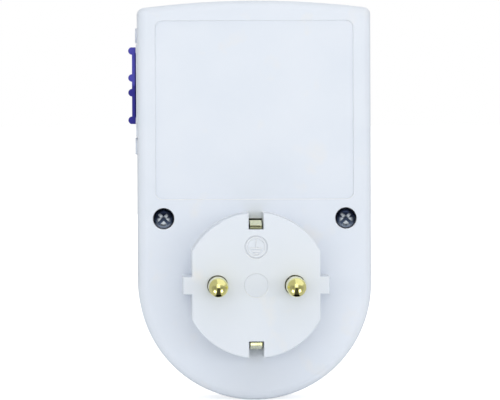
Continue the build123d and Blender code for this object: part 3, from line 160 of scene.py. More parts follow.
class ShaderGraph:
    """Adds and joins the nodes of one material."""

    def __init__(self, name: str) -> None:
        """Starts an empty material.

        Args:
            name: The material's name.
        """
        self.material = bpy.data.materials.new(name)
        self.material.use_nodes = True
        self.tree = self.material.node_tree
        self.tree.nodes.clear()
        self.output = self.tree.nodes.new("ShaderNodeOutputMaterial")
        self.place: Socket = self.tree.nodes.new("ShaderNodeTexCoord").outputs["Object"]

    def add(
        self, kind: str, inputs: dict[str, Value] | None = None, **settings: object
    ) -> bpy.types.Node:
        """Adds a node.

        Args:
            kind: The node's type name.
            inputs: Values for its sockets, or sockets to join to them.
            **settings: The node's own options.

        Returns:
            The new node.
        """
        node = self.tree.nodes.new(kind)
        for key, value in settings.items():
            setattr(node, key, value)
        for key, value in (inputs or {}).items():
            self.feed(node.inputs[key], value)
        return node

    def feed(self, socket: Socket, value: Value) -> None:
        """Joins another node's output to a socket, or sets its value.

        Args:
            socket: The socket that is fed.
            value: The other node's output, or the value.
        """
        if isinstance(value, bpy.types.NodeSocket):
            self.tree.links.new(value, socket)
        else:
            socket.default_value = value

    def stretched(self, scale: Point3) -> Socket:
        """The place on the piece, with each axis scaled."""
        mapping = self.add("ShaderNodeMapping", {"Vector": self.place, "Scale": scale})
        return mapping.outputs["Vector"]

    def noise(self, size: float, detail: float = 2.0, stretch: Point3 = (1, 1, 1)) -> Socket:
        """Random values from 0 to 1, in patches so many millimetres wide, set closer by stretch."""
        inputs = {"Vector": self.stretched(stretch), "Scale": 1 / (size * MM), "Detail": detail}
        return self.add("ShaderNodeTexNoise", inputs).outputs["Fac"]

    def spread(
        self,
        value: Socket,
        low: float,
        high: float,
        start: float = NOISE_LOW,
        end: float = NOISE_HIGH,
    ) -> Socket:
        """A value between start and end, spread to between low and high."""
        inputs = {"Value": value, "From Min": start, "From Max": end, "To Min": low, "To Max": high}
        return self.add("ShaderNodeMapRange", inputs).outputs["Result"]

    def rise(self, value: Socket, start: float, end: float) -> Socket:
        """0 below the start and 1 above the end."""
        return self.spread(value, 0.0, 1.0, start, end)

    def fall(self, value: Socket, start: float, end: float, top: float = 1.0) -> Socket:
        """The top value below the start, and 0 above the end."""
        return self.spread(value, top, 0.0, start, end)

    def mixed(self, share: Socket, first: Rgb | Socket, second: Rgb | Socket) -> Socket:
        """Mixes two colours.

        Args:
            share: From 0, all the first, to 1, all the second.
            first: A display colour, or a socket that gives a colour.
            second: The other one.

        Returns:
            The mixed colour's socket.
        """
        node = self.add("ShaderNodeMix", data_type="RGBA")
        self.feed(node.inputs["Factor"], share)
        colors = [socket for socket in node.inputs if socket.type == "RGBA"]
        for socket, color in zip(colors, (first, second)):
            self.feed(socket, color if isinstance(color, bpy.types.NodeSocket) else linear(color))
        return next(socket for socket in node.outputs if socket.type == "RGBA")

    def slant(self, first: Socket, second: Socket) -> Socket:
        """The length of the slant between two sides that stand square."""
        squares = [self.math("MULTIPLY", side, side) for side in (first, second)]
        return self.math("SQRT", self.math("ADD", *squares))

    def axis(self, name: str, vector: Socket | None = None) -> Socket:
        """What runs along X, Y or Z of a vector, or else of the place on the piece."""
        inputs = {"Vector": self.place if vector is None else vector}
        return self.add("ShaderNodeSeparateXYZ", inputs).outputs[name]

    def either(self, choice: Socket, first: Socket, second: Socket) -> Socket:
        """Chooses between two shaders.

        Args:
            choice: 0 for the first shader, 1 for the second.
            first: A shader.
            second: The other one.

        Returns:
            The chosen shader's socket.
        """
        node = self.add("ShaderNodeMixShader", {"Fac": choice})
        self.feed(node.inputs[1], first)
        self.feed(node.inputs[2], second)
        return node.outputs["Shader"]

    def math(self, operation: str, first: Value, second: Value = 0.0) -> Socket:
        """Does one sum.

        Args:
            operation: The sum's name in Blender.
            first: A number, or a socket that gives one.
            second: The other one, where the sum takes two.

        Returns:
            The result's socket.
        """
        node = self.add("ShaderNodeMath", operation=operation)
        self.feed(node.inputs[0], first)
        self.feed(node.inputs[1], second)
        return node.outputs["Value"]


class WorldGraph(ShaderGraph):
    """Adds and joins the nodes of the world."""

    def __init__(self, name: str) -> None:
        """Starts an empty world.

        Args:
            name: The world's name.
        """
        self.world = bpy.data.worlds.new(name)
        self.world.use_nodes = True
        self.tree = self.world.node_tree
        self.tree.nodes.clear()
        self.output = self.tree.nodes.new("ShaderNodeOutputWorld")


@dataclass(frozen=True)
class Finish:
    """One finish: colour, gloss and the marks of its making. Lengths are in millimetres."""

    name: str
    slot: str
    color: Rgb
    patch_color: Rgb
    patch: float
    gloss: tuple[float, float]
    marks: Marks = Marks.GRAIN
    pitch: float = 0.25
    depth: float = 0.004
    edge: float = 0.15
    metallic: float = 0.0
    specular: float = 0.5

    def relief(self, graph: ShaderGraph) -> Socket:
        """The height of the marks on the surface, from 0 to 1.

        Args:
            graph: The material's nodes.

        Returns:
            The height's socket.
        """
        if self.marks in STRETCH:
            return graph.noise(self.pitch, RELIEF_DETAIL, STRETCH[self.marks])
        scale = WAVE_BAND / (self.pitch * MM)
        inputs = {"Vector": graph.place, "Scale": scale, "Distortion": WAVE_STRAY}
        wave = graph.add("ShaderNodeTexWave", inputs, bands_direction="Y", wave_profile="SIN")
        return wave.outputs["Fac"]

    def tint(self, graph: ShaderGraph, patches: Socket) -> Socket:
        """The surface's colour, a little uneven from patch to patch."""
        return graph.mixed(graph.spread(patches, 0.0, 1.0), self.color, self.patch_color)

    def material(self) -> bpy.types.Material:
        """Builds the finish's material.

        Returns:
            The material, with its own nodes.
        """
        graph = ShaderGraph(self.name)
        patches = graph.noise(self.patch, PATCH_DETAIL)
        smudges = graph.noise(self.patch * GLOSS_SHARE, GLOSS_DETAIL)
        bevel = graph.add("ShaderNodeBevel", {"Radius": self.edge * MM}, samples=CORNER_SAMPLES)
        bump = graph.add(
            "ShaderNodeBump",
            {
                "Height": self.relief(graph),
                "Distance": self.depth * MM,
                "Strength": 1.0,
                "Normal": bevel.outputs["Normal"],
            },
        )
        surface = graph.add(
            "ShaderNodeBsdfPrincipled",
            {
                "Base Color": self.tint(graph, patches),
                "Roughness": graph.spread(smudges, *self.gloss),
                "Metallic": self.metallic,
                "Specular IOR Level": self.specular,
                "Normal": bump.outputs["Normal"],
            },
        )
        graph.feed(graph.output.inputs["Surface"], surface.outputs["BSDF"])
        return graph.material


@dataclass(frozen=True)
class CasePlastic(Finish):
    """White moulded plastic, smudged by handling, with painted highlights along its edges and
    painted shade in its gaps and recesses.
    """

    smudge_color: Rgb = (233, 228, 221)
    smudge: float = 9.0
    smudge_share: float = 0.35
    smudge_range: tuple[float, float] = (0.60, 0.74)
    # Painted highlight along the edges: a paler colour, and white where the edges face up.
    rubbed_color: Rgb = (240, 243, 250)
    upper_color: Rgb = (255, 255, 255)
    upper_range: tuple[float, float] = (0.08, 0.35)
    rub: float = 0.3
    rub_share: float = 0.9
    rub_range: tuple[float, float] = (0.88, 0.99)
    # Painted shade: a dark grey mixed in wherever ambient occlusion is deep, in gaps and recesses.
    gap_color: Rgb = (138, 144, 157)
    gap: float = 1.2
    gap_share: float = 0.9
    gap_range: tuple[float, float] = (0.12, 0.34)
    foot: tuple[float, float] = (-27.8, -27.0)

    def smudged(self, graph: ShaderGraph, base: Socket) -> Socket:
        """The base colour, with smudges here and there."""
        share = graph.spread(
            graph.noise(self.smudge, SMUDGE_DETAIL), 0.0, self.smudge_share, *self.smudge_range
        )
        return graph.mixed(share, base, self.smudge_color)

    def rubbed(self, graph: ShaderGraph, base: Socket) -> Socket:
        """Paints a highlight along the edges, brightest on those that face up.

        Args:
            graph: The material's nodes.
            base: The colour between the edges.

        Returns:
            The colour's socket.
        """
        # Painted highlight: where the bevelled normal turns from the true one, the colour goes
        # paler, and white on edges that face up, as if light caught them.
        rounded = graph.add("ShaderNodeBevel", {"Radius": self.rub * MM}, samples=CORNER_SAMPLES)
        normal = rounded.outputs["Normal"]
        turn = graph.add("ShaderNodeVectorMath", operation="DOT_PRODUCT")
        graph.feed(turn.inputs[0], normal)
        graph.feed(turn.inputs[1], graph.add("ShaderNodeNewGeometry").outputs["Normal"])
        upward = graph.rise(graph.axis("Z", normal), *self.upper_range)
        pale = graph.mixed(upward, self.rubbed_color, self.upper_color)
        share = graph.fall(turn.outputs["Value"], *self.rub_range, self.rub_share)
        return graph.mixed(share, base, pale)

    def tint(self, graph: ShaderGraph, patches: Socket) -> Socket:
        """The casing's colour: smudged, with painted edge highlights, and painted shade where
        occlusion is deep, above its foot.

        Args:
            graph: The material's nodes.
            patches: A soft noise over the surface.

        Returns:
            The colour's socket.
        """
        rubbed = self.rubbed(graph, self.smudged(graph, super().tint(graph, patches)))
        # Painted shade: ambient occlusion darkens the colour in narrow gaps and recesses, and stops
        # short of the foot, where the floor comes close.
        occlusion = graph.add(
            "ShaderNodeAmbientOcclusion",
            {"Distance": self.gap * MM},
            samples=CORNER_SAMPLES,
            only_local=False,
        )
        painted_shade = graph.fall(occlusion.outputs["AO"], *self.gap_range, self.gap_share)
        off_floor = graph.rise(graph.axis("Z"), *(level * MM for level in self.foot))
        return graph.mixed(graph.math("MULTIPLY", off_floor, painted_shade), rubbed, self.gap_color)


@dataclass(frozen=True)
class WornBluing(Finish):
    """Blued steel, painted lighter towards the foot of the head, with a painted highlight on its
    lower rim and painted bright patches round the cross recess.
    """

    screw_x: float = 22.5
    screw_z: float = 16.1
    head_y: float = -18.2
    # Painted light: a lighter blue towards the foot of the head, and a painted highlight on its
    # lower rim.
    low_color: Rgb = (104, 120, 148)
    low_range: tuple[float, float] = (-2.6, 0.6)
    rim_color: Rgb = (222, 228, 240)
    rim: tuple[float, float] = (1.8, 2.2)
    rim_range: tuple[float, float] = (-1.9, -0.9)
    # Painted highlights: bright steel patches round the cross recess, where reflections fall.
    bare_color: Rgb = (216, 224, 232)
    middle: tuple[float, float] = (0.3, 0.75)
    worn_radius: float = 2.4
    worn_fade: float = 0.9
    worn_drop: float = 0.35
    fray: float = 1.1
    fray_size: float = 0.9
    sunk: tuple[float, float] = (0.5, 0.2)
    upper_range: tuple[float, float] = (-0.1, 0.3)

    def worn(self, graph: ShaderGraph, across: Socket, above: Socket) -> Socket:
        """Where bright patches are painted: in the upper arms, and on the face between the lower
        ones.

        Args:
            graph: The material's nodes.
            across: How far a place lies sideways from the screw's middle.
            above: How far it lies above it.

        Returns:
            A value from 0, blued, to 1, painted bright.
        """
        lowered = graph.math("ADD", above, self.worn_drop * MM)
        stray = graph.math("MULTIPLY", graph.noise(self.fray_size, PATCH_DETAIL), self.fray * MM)
        reach = graph.math("ADD", graph.slant(across, lowered), stray)
        near = graph.fall(reach, (self.worn_radius - self.worn_fade) * MM, self.worn_radius * MM)
        sunk = graph.fall(graph.axis("Y"), *((self.head_y - depth) * MM for depth in self.sunk))
        upper = graph.rise(above, *(level * MM for level in self.upper_range))
        apart = graph.math("ABSOLUTE", graph.math("SUBTRACT", sunk, upper))
        return graph.math("MULTIPLY", near, graph.math("SUBTRACT", 1.0, apart))

    def tint(self, graph: ShaderGraph, patches: Socket) -> Socket:
        """Painted light on the blued head: lighter towards its foot, a painted highlight on its
        lower rim, and painted bright patches round the recess.

        Args:
            graph: The material's nodes.
            patches: A soft noise over the surface.

        Returns:
            The colour's socket.
        """
        across = graph.math("SUBTRACT", graph.math("ABSOLUTE", graph.axis("X")), self.screw_x * MM)
        above = graph.math("SUBTRACT", graph.axis("Z"), self.screw_z * MM)
        radius = graph.slant(across, above)
        # Painted light: the head goes lighter towards its foot and paler on its lower rim.
        low = graph.fall(above, *(level * MM for level in self.low_range))
        base = graph.mixed(low, super().tint(graph, patches), self.low_color)
        on_rim = graph.rise(radius, *(size * MM for size in self.rim))
        below = graph.fall(above, *(level * MM for level in self.rim_range))
        base = graph.mixed(graph.math("MULTIPLY", on_rim, below), base, self.rim_color)
        # Painted highlights: bright steel patches in the upper arms and between the lower ones.
        clear = graph.rise(radius, *(size * MM for size in self.middle))
        painted_patches = graph.math("MULTIPLY", clear, self.worn(graph, across, above))
        return graph.mixed(painted_patches, base, self.bare_color)


@dataclass(frozen=True)
class ThumbedPlastic(Finish):
    """Coloured plastic, painted lighter above its middle as if lit from above."""

    rubbed_color: Rgb = (63, 61, 171)
    middle_z: float = 48.9
    fade: float = 0.15

    def tint(self, graph: ShaderGraph, patches: Socket) -> Socket:
        """The plastic's colour, with painted light on the upper half.

        Args:
            graph: The material's nodes.
            patches: A soft noise over the surface.

        Returns:
            The colour's socket.
        """
        base = super().tint(graph, patches)
        low, high = ((self.middle_z + side * self.fade) * MM for side in (-1, 1))
        # Painted light: above the middle the blue goes lighter, standing in for the light that
        # falls on the upper half.
        return graph.mixed(graph.rise(graph.axis("Z"), low, high), base, self.rubbed_color)


CASE_WHITE = CasePlastic(
    "case_white", "casing", (223, 228, 236), (219, 225, 234), 14.0, (0.40, 0.50),
    pitch=0.22, depth=0.0035, edge=0.25,
)
TURNED_BRASS = Finish(
    "turned_brass", "brass", (248, 243, 170), (240, 235, 156), 3.0, (0.08, 0.14),
    marks=Marks.RINGS, pitch=0.30, depth=0.0006, edge=0.05, metallic=1.0,
)
TARNISHED_BRASS = Finish(
    "tarnished_brass", "brass", (150, 150, 132), (118, 118, 100), 1.0, (0.34, 0.52),
    marks=Marks.RINGS, pitch=0.30, depth=0.0012, edge=0.05, metallic=1.0,
)
EARTH_BRASS = Finish(
    "earth_brass", "brass", (240, 238, 192), (222, 220, 166), 2.0, (0.18, 0.32),
    marks=Marks.LENGTHWISE, pitch=0.25, depth=0.0012, edge=0.10, metallic=1.0,
)
SPRUNG_BRASS = Finish(
    "sprung_brass", "brass", (246, 226, 130), (228, 202, 104), 2.5, (0.16, 0.30),
    marks=Marks.LENGTHWISE, pitch=0.25, depth=0.0012, edge=0.10, metallic=1.0,
)
BLUED_STEEL = WornBluing(
    "blued_steel", "dark_steel", (40, 48, 68), (26, 32, 48), 1.6, (0.22, 0.38),
    pitch=0.18, depth=0.006, edge=0.12, metallic=1.0,
)
PLAIN_STEEL = Finish(
    "plain_steel", "steel", (206, 208, 212), (188, 190, 196), 2.0, (0.20, 0.36),
    marks=Marks.UPRIGHT, pitch=0.20, depth=0.0012, edge=0.08, metallic=1.0,
)
SLIDER_BLUE = ThumbedPlastic(
    "slider_blue", "slider_blue", (43, 39, 150), (38, 34, 141), 3.0, (0.38, 0.50),
    pitch=0.20, depth=0.003, edge=0.20, specular=0.4,
)
TAPPET_BLUE = Finish(
    "tappet_blue", "tappet_blue", (62, 74, 172), (52, 64, 160), 4.0, (0.32, 0.44),
    pitch=0.18, depth=0.003, edge=0.16,
)
DIAL_WHITE = Finish(
    "dial_white", "dial_white", (236, 237, 234), (229, 231, 230), 6.0, (0.50, 0.62),
    pitch=0.14, depth=0.004, edge=0.16,
)
PLATE_BLACK = Finish(
    "plate_black", "inner_black", (44, 45, 49), (36, 37, 41), 5.0, (0.46, 0.62),
    pitch=0.16, depth=0.006, edge=0.15,
)
# Painted shade: the black of the frames behind the earth windows.
PAINTED_SHADE_BLACK = Finish(
    "painted_shade_black", "inner_black", (30, 32, 38), (22, 24, 28), 1.0, (0.60, 0.78),
    pitch=0.10, depth=0.012, edge=0.05,
)
DIAL_INK = Finish(
    "dial_ink", "inner_black", (34, 38, 58), (44, 48, 70), 0.6, (0.50, 0.66),
    pitch=0.08, depth=0.002, edge=0.02,
)
NATURAL_NYLON = Finish(
    "natural_nylon", "nylon", (235, 229, 208), (228, 220, 196), 4.0, (0.30, 0.42),
    pitch=0.25, depth=0.002, edge=0.10,
)
COPPER_WIRE = Finish(
    "copper_wire", "winding", (196, 112, 62), (170, 88, 44), 1.2, (0.18, 0.34),
    marks=Marks.WOUND, pitch=0.16, depth=0.05, edge=0.05, metallic=1.0,
)
CONTACT_SILVER = Finish(
    "contact_silver", "silver", (222, 222, 216), (200, 198, 190), 0.7, (0.16, 0.32),
    pitch=0.10, depth=0.002, edge=0.12, metallic=1.0,
)
FERRITE_GREY = Finish(
    "ferrite_grey", "magnet", (66, 66, 68), (54, 54, 57), 1.0, (0.52, 0.70),
    pitch=0.12, depth=0.010, edge=0.15,
)
WIRE_SLEEVE = Finish(
    "wire_sleeve", "lead_sleeve", (206, 203, 194), (196, 192, 182), 2.0, (0.42, 0.55),
    pitch=0.12, depth=0.003, edge=0.05,
)


# ---- the workshop ----------------------------------------------------------------------


def placed(
    name: str, shape: bmesh.types.BMesh, material: bpy.types.Material
) -> bpy.types.Object:
    """Puts a mesh into the scene.

    Args:
        name: The new object's name.
        shape: The mesh in metres, which is freed.
        material: Its material.

    Returns:
        The object.
    """
    mesh = bpy.data.meshes.new(name)
    shape.to_mesh(mesh)
    shape.free()
    mesh.materials.append(material)
    made = bpy.data.objects.new(name, mesh)
    bpy.context.scene.collection.objects.link(made)
    return made


class Workshop:
    """Holds the loaded frame and gives pieces their finish and the body that they ride on."""

    def __init__(self) -> None:
        """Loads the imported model."""
        self.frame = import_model()
        self.cad_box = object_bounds()
        self.made: dict[str, bpy.types.Material] = {}

    def material(self, finish: Finish) -> bpy.types.Material:
        """Gives the material of a finish, which is built once.

        Args:
            finish: The finish.

        Returns:
            Its material.
        """
        if finish.name not in self.made:
            self.made[finish.name] = finish.material()
        return self.made[finish.name]

    def dress(self, finish: Finish, *nodes: str) -> None:
        """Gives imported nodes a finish.

        Args:
            finish: The finish.
            *nodes: The nodes' names.
        """
        for name in nodes:
            piece = self.frame["nodes"][name]
            if not piece.material_slots:
                piece.data.materials.append(self.material(finish))
            for slot in piece.material_slots:
                slot.material = self.material(finish)
            LOG.info("dressed %s in %s", name, finish.name)

    def piece(
        self,
        name: str,
        shape: bmesh.types.BMesh,
        finish: Finish,
        body: str,
        replaces: Sequence[str] = (),
    ) -> bpy.types.Object:
        """Makes a piece from a mesh whose points are in millimetres.

        Args:
            name: The piece's name.
            shape: The mesh, which is freed.
            finish: Its finish.
            body: The body that it rides on.
            replaces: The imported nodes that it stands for.

        Returns:
            The piece's object.
        """
        bmesh.ops.recalc_face_normals(shape, faces=shape.faces)
        bmesh.ops.scale(shape, vec=(MM, MM, MM), verts=shape.verts)
        made = placed(name, shape, self.material(finish))
        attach(made, body)
        if replaces:
            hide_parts(*replaces)
        LOG.info("made %s, %d faces, riding on %s", name, len(made.data.polygons), body)
        return made


def arc_points(
    radius: float, start: float, end: float, steps: int, center: Point2 = (0, 0)
) -> list[Point2]:
    """Points along an arc.

    Args:
        radius: The arc's radius.
        start: Its first angle, in degrees, clockwise from straight up.
        end: Its last angle.
        steps: How many runs it is divided into.
        center: Its centre.

    Returns:
        The points, in order.
    """
    points = []
    for step in range(steps + 1):
        angle = math.radians(start + (end - start) * step / steps)
        points.append((center[0] + radius * math.sin(angle), center[1] + radius * math.cos(angle)))
    return points


def add_prism(
    shape: bmesh.types.BMesh, outline: Sequence[Point2], front: float, back: float
) -> None:
    """Adds a straight-sided solid between two levels of Y.

    Args:
        shape: The mesh that it is added to.
        outline: Its corners, as X and Z.
        front: The Y of its front face.
        back: The Y of its back face.
    """
    near = [shape.verts.new((x, front, z)) for x, z in outline]
    far = [shape.verts.new((x, back, z)) for x, z in outline]
    shape.faces.new(near)
    shape.faces.new(list(reversed(far)))
    for index in range(len(outline)):
        after = (index + 1) % len(outline)
        shape.faces.new((near[index], far[index], far[after], near[after]))


def add_frame(
    shape: bmesh.types.BMesh,
    outer: Sequence[Point2],
    inner: Sequence[Point2],
    front: float,
    back: float,
) -> None:
    """Adds a flat frame between two levels of Y.

    Args:
        shape: The mesh that it is added to.
        outer: The corners of its outside, as X and Z.
        inner: The corners of its opening, as many as outside and in the same order.
        front: The Y of its front face.
        back: The Y of its back face.
    """
    loops = [
        [shape.verts.new((x, level, z)) for x, z in corners]
        for corners, level in ((outer, front), (inner, front), (inner, back), (outer, back))
    ]
    for here, there in zip(loops, loops[1:] + loops[:1]):
        for index in range(len(outer)):
            after = (index + 1) % len(outer)
            shape.faces.new((here[index], here[after], there[after], there[index]))


def lathed(profile: Sequence[Point2], center: Point2, segments: int) -> bmesh.types.BMesh:
    """Turns a profile round an axis that runs along Y.

    Args:
        profile: Pairs of Y and radius, from one end to the other; a radius of 0 is a point.
        center: The axis's X and Z.
        segments: How many faces go round.

    Returns:
        The mesh.
    """
    shape = bmesh.new()
    rings: list[list[bmesh.types.BMVert]] = []
    for level, radius in profile:
        if radius == 0:
            rings.append([shape.verts.new((center[0], level, center[1]))])
            continue
        ring = []
        for step in range(segments):
            angle = 2 * math.pi * step / segments
            x = center[0] + radius * math.cos(angle)
            z = center[1] + radius * math.sin(angle)
            ring.append(shape.verts.new((x, level, z)))
        rings.append(ring)
    for first, second in zip(rings, rings[1:]):
        for step in range(segments):
            after = (step + 1) % segments
            if len(first) == 1:
                corners = (first[0], second[step], second[after])
            elif len(second) == 1:
                corners = (first[step], second[0], first[after])
            else:
                corners = (first[step], second[step], second[after], first[after])
            shape.faces.new(corners)
    return shape


def smooth(piece: bpy.types.Object, angle: float = 35.0) -> None:
    """Shades a piece smoothly, with creases.

    Args:
        piece: The piece.
        angle: Faces that meet at more than this angle, in degrees, keep a crease.
    """
    for face in piece.data.polygons:
        face.use_smooth = True
    edges = bmesh.new()
    edges.from_mesh(piece.data)
    for edge in edges.edges:
        if len(edge.link_faces) == 2 and edge.calc_face_angle(0.0) > math.radians(angle):
            edge.smooth = False
    edges.to_mesh(piece.data)
    edges.free()


# ---- sub-assemblies --------------------------------------------------------------------

Dressed = tuple[tuple[Finish, tuple[str, ...]], ...]


@dataclass
class Group:
    """A sub-assembly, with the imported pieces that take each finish."""

    dressed: Dressed = ()

    def build(self, shop: Workshop) -> None:
        """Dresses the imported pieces."""
        for finish, nodes in self.dressed:
            shop.dress(finish, *nodes)


@dataclass
class Casing(Group):
    """The two halves of the casing, with the hollow plug body on the rear one."""

    dressed: Dressed = ((CASE_WHITE, ("rear_shell", "front_shell")),)


@dataclass
class PlugPins(Group):
    """The two solid pins of the plug, turned from brass. Sizes in millimetres."""

    half_spacing: float = 9.5
    radius: float = 2.4
    reach: float = 19.0
    neck_radius: float = 2.4
    edge: float = 0.12
    collar_radius: float = 3.4
    collar_front: float = -4.6
    collar_back: float = -2.6
    tail_radius: float = 1.5
    tail_end: float = -9.2
    rivet_radius: float = 2.2
    rivet_height: float = 0.9
    tip_steps: int = 32
    rivet_steps: int = 8
    break_share: float = 0.3
    segments: int = 96

    def profile(self) -> list[Point2]:
        """Draws the pin's outline.

        Returns:
            Pairs of Y and radius, from the rounded tip to the riveted tail.
        """
        points = [(self.reach, 0.0)]
        shoulder = self.reach - self.radius
        for step in range(1, self.tip_steps + 1):
            angle = math.pi / 2 * step / self.tip_steps
            points.append((shoulder + self.radius * math.cos(angle), self.radius * math.sin(angle)))
        broken = self.edge * self.break_share
        points += [
            (shoulder / 2, self.radius),
            (self.edge, self.radius),
            (broken, self.radius - broken),
            (0.0, self.radius - self.edge),
            (0.0, self.neck_radius),
            (self.collar_back, self.neck_radius),
            (self.collar_back, self.collar_radius - self.edge),
            (self.collar_back - self.edge, self.collar_radius),
            (self.collar_front + self.edge, self.collar_radius),
            (self.collar_front, self.collar_radius - self.edge),
            (self.collar_front, self.tail_radius),
            (self.tail_end, self.tail_radius),
            (self.tail_end, self.rivet_radius),
        ]
        for step in range(1, self.rivet_steps):
            angle = math.pi / 2 * step / self.rivet_steps
            level = self.tail_end - self.rivet_height * math.sin(angle)
            points.append((level, self.rivet_radius * math.cos(angle)))
        return points + [(self.tail_end - self.rivet_height, 0.0)]

    def build(self, shop: Workshop) -> None:
        """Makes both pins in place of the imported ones, bright outside and tarnished inside.

        Args:
            shop: The workshop.
        """
        for side, node in ((1, "plug_pin_live"), (-1, "plug_pin_neutral")):
            shape = lathed(self.profile(), (side * self.half_spacing, 0.0), self.segments)
            name = node.replace("plug_pin", "turned_pin")
            pin = shop.piece(name, shape, TURNED_BRASS, "housing", [node])
            pin.data.materials.append(shop.material(TARNISHED_BRASS))
            for face in pin.data.polygons:
                face.material_index = 1 if face.center.y < 0 else 0
            smooth(pin)


@dataclass
class EarthPath(Group):
    """The sprung earth strips, the strap that joins them, and a black frame behind each window as
    painted shade in the gap round the strip.

    Sizes are in millimetres.
    """

    dressed: Dressed = (
        (EARTH_BRASS, ("earth_strip_upper", "earth_strip_lower", "earth_bridge")),
    )
    strip_half: float = 1.45
    strip_low: float = 14.8
    strip_high: float = 15.6
    # Painted shade: black frames put behind the windows, where the gaps round the strips lie in
    # shade.
    gasket_half: float = 3.3
    gasket_low: float = 13.0
    gasket_high: float = 17.1
    wall_in: float = -19.92
    gasket_thick: float = 0.3
    fit: float = 0.04

    def gasket(self, side: int) -> bmesh.types.BMesh:
        """A black frame that fills a window round its strip, a dark sheet put where there is shade.

        Args:
            side: 1 for the upper window, -1 for the lower one.

        Returns:
            The mesh.
        """
        loops = []
        for half, low, high in (
            (self.gasket_half, self.gasket_low, self.gasket_high),
            (self.strip_half + self.fit, self.strip_low - self.fit, self.strip_high + self.fit),
        ):
            near, far = side * low, side * high
            loops.append([(-half, near), (half, near), (half, far), (-half, far)])
        shape = bmesh.new()
        add_frame(shape, loops[0], loops[1], self.wall_in, self.wall_in - self.gasket_thick)
        return shape

    def build(self, shop: Workshop) -> None:
        """Dresses the strips in rolled brass and adds the black frames of painted shade.

        Args:
            shop: The workshop.
        """
        super().build(shop)
        for side, name in ((1, "strip_shade_frame_upper"), (-1, "strip_shade_frame_lower")):
            shop.piece(name, self.gasket(side), PAINTED_SHADE_BLACK, "housing")


@dataclass
class Fasteners(Group):
    """The screws, pins and rings that hold the switch together, blued where they show."""

    dressed: Dressed = (
        (BLUED_STEEL, ("case_screws",)),
        (
            PLAIN_STEEL,
            (
                "plate_screws", "dial_screw", "dial_arbor", "idler_arbor", "lever_pin",
                "gear_clip", "shutter_clip",
            ),
        ),
    )


@dataclass
class SocketParts(Group):
    """What stands behind the socket's floor: clamps, conductors and the shutter."""

    dressed: Dressed = (
        (
            SPRUNG_BRASS,
            (
                "socket_contact_live", "socket_contact_neutral", "neutral_busbar",
                "live_busbar", "load_strap",
            ),
        ),
        (PLATE_BLACK, ("shutter",)),
        (PLAIN_STEEL, ("shutter_spring",)),
    )


@dataclass
class Clockwork(Group):
    """The motor, its gears and the plate that carries them."""

    dressed: Dressed = (
        (PLATE_BLACK, ("mechanism_plate",)),
        (PLAIN_STEEL, ("motor_can", "motor_cover")),
        (COPPER_WIRE, ("motor_coil",)),
        (FERRITE_GREY, ("motor_rotor",)),
        (TURNED_BRASS, ("rotor_pinion",)),
        (WIRE_SLEEVE, ("motor_leads",)),
        (NATURAL_NYLON, ("idler_wheel", "dial_gear")),
    )


@dataclass
class Switchwork(Group):
    """The follower lever, the contact blade and the side slider."""

    dressed: Dressed = (
        (NATURAL_NYLON, ("follower_lever",)),
        (PLAIN_STEEL, ("follower_spring", "detent_spring")),
        (SPRUNG_BRASS, ("contact_blade",)),
        (CONTACT_SILVER, ("moving_contact_tip", "fixed_contact_tip")),
        (SLIDER_BLUE, ("override_slider",)),
    )


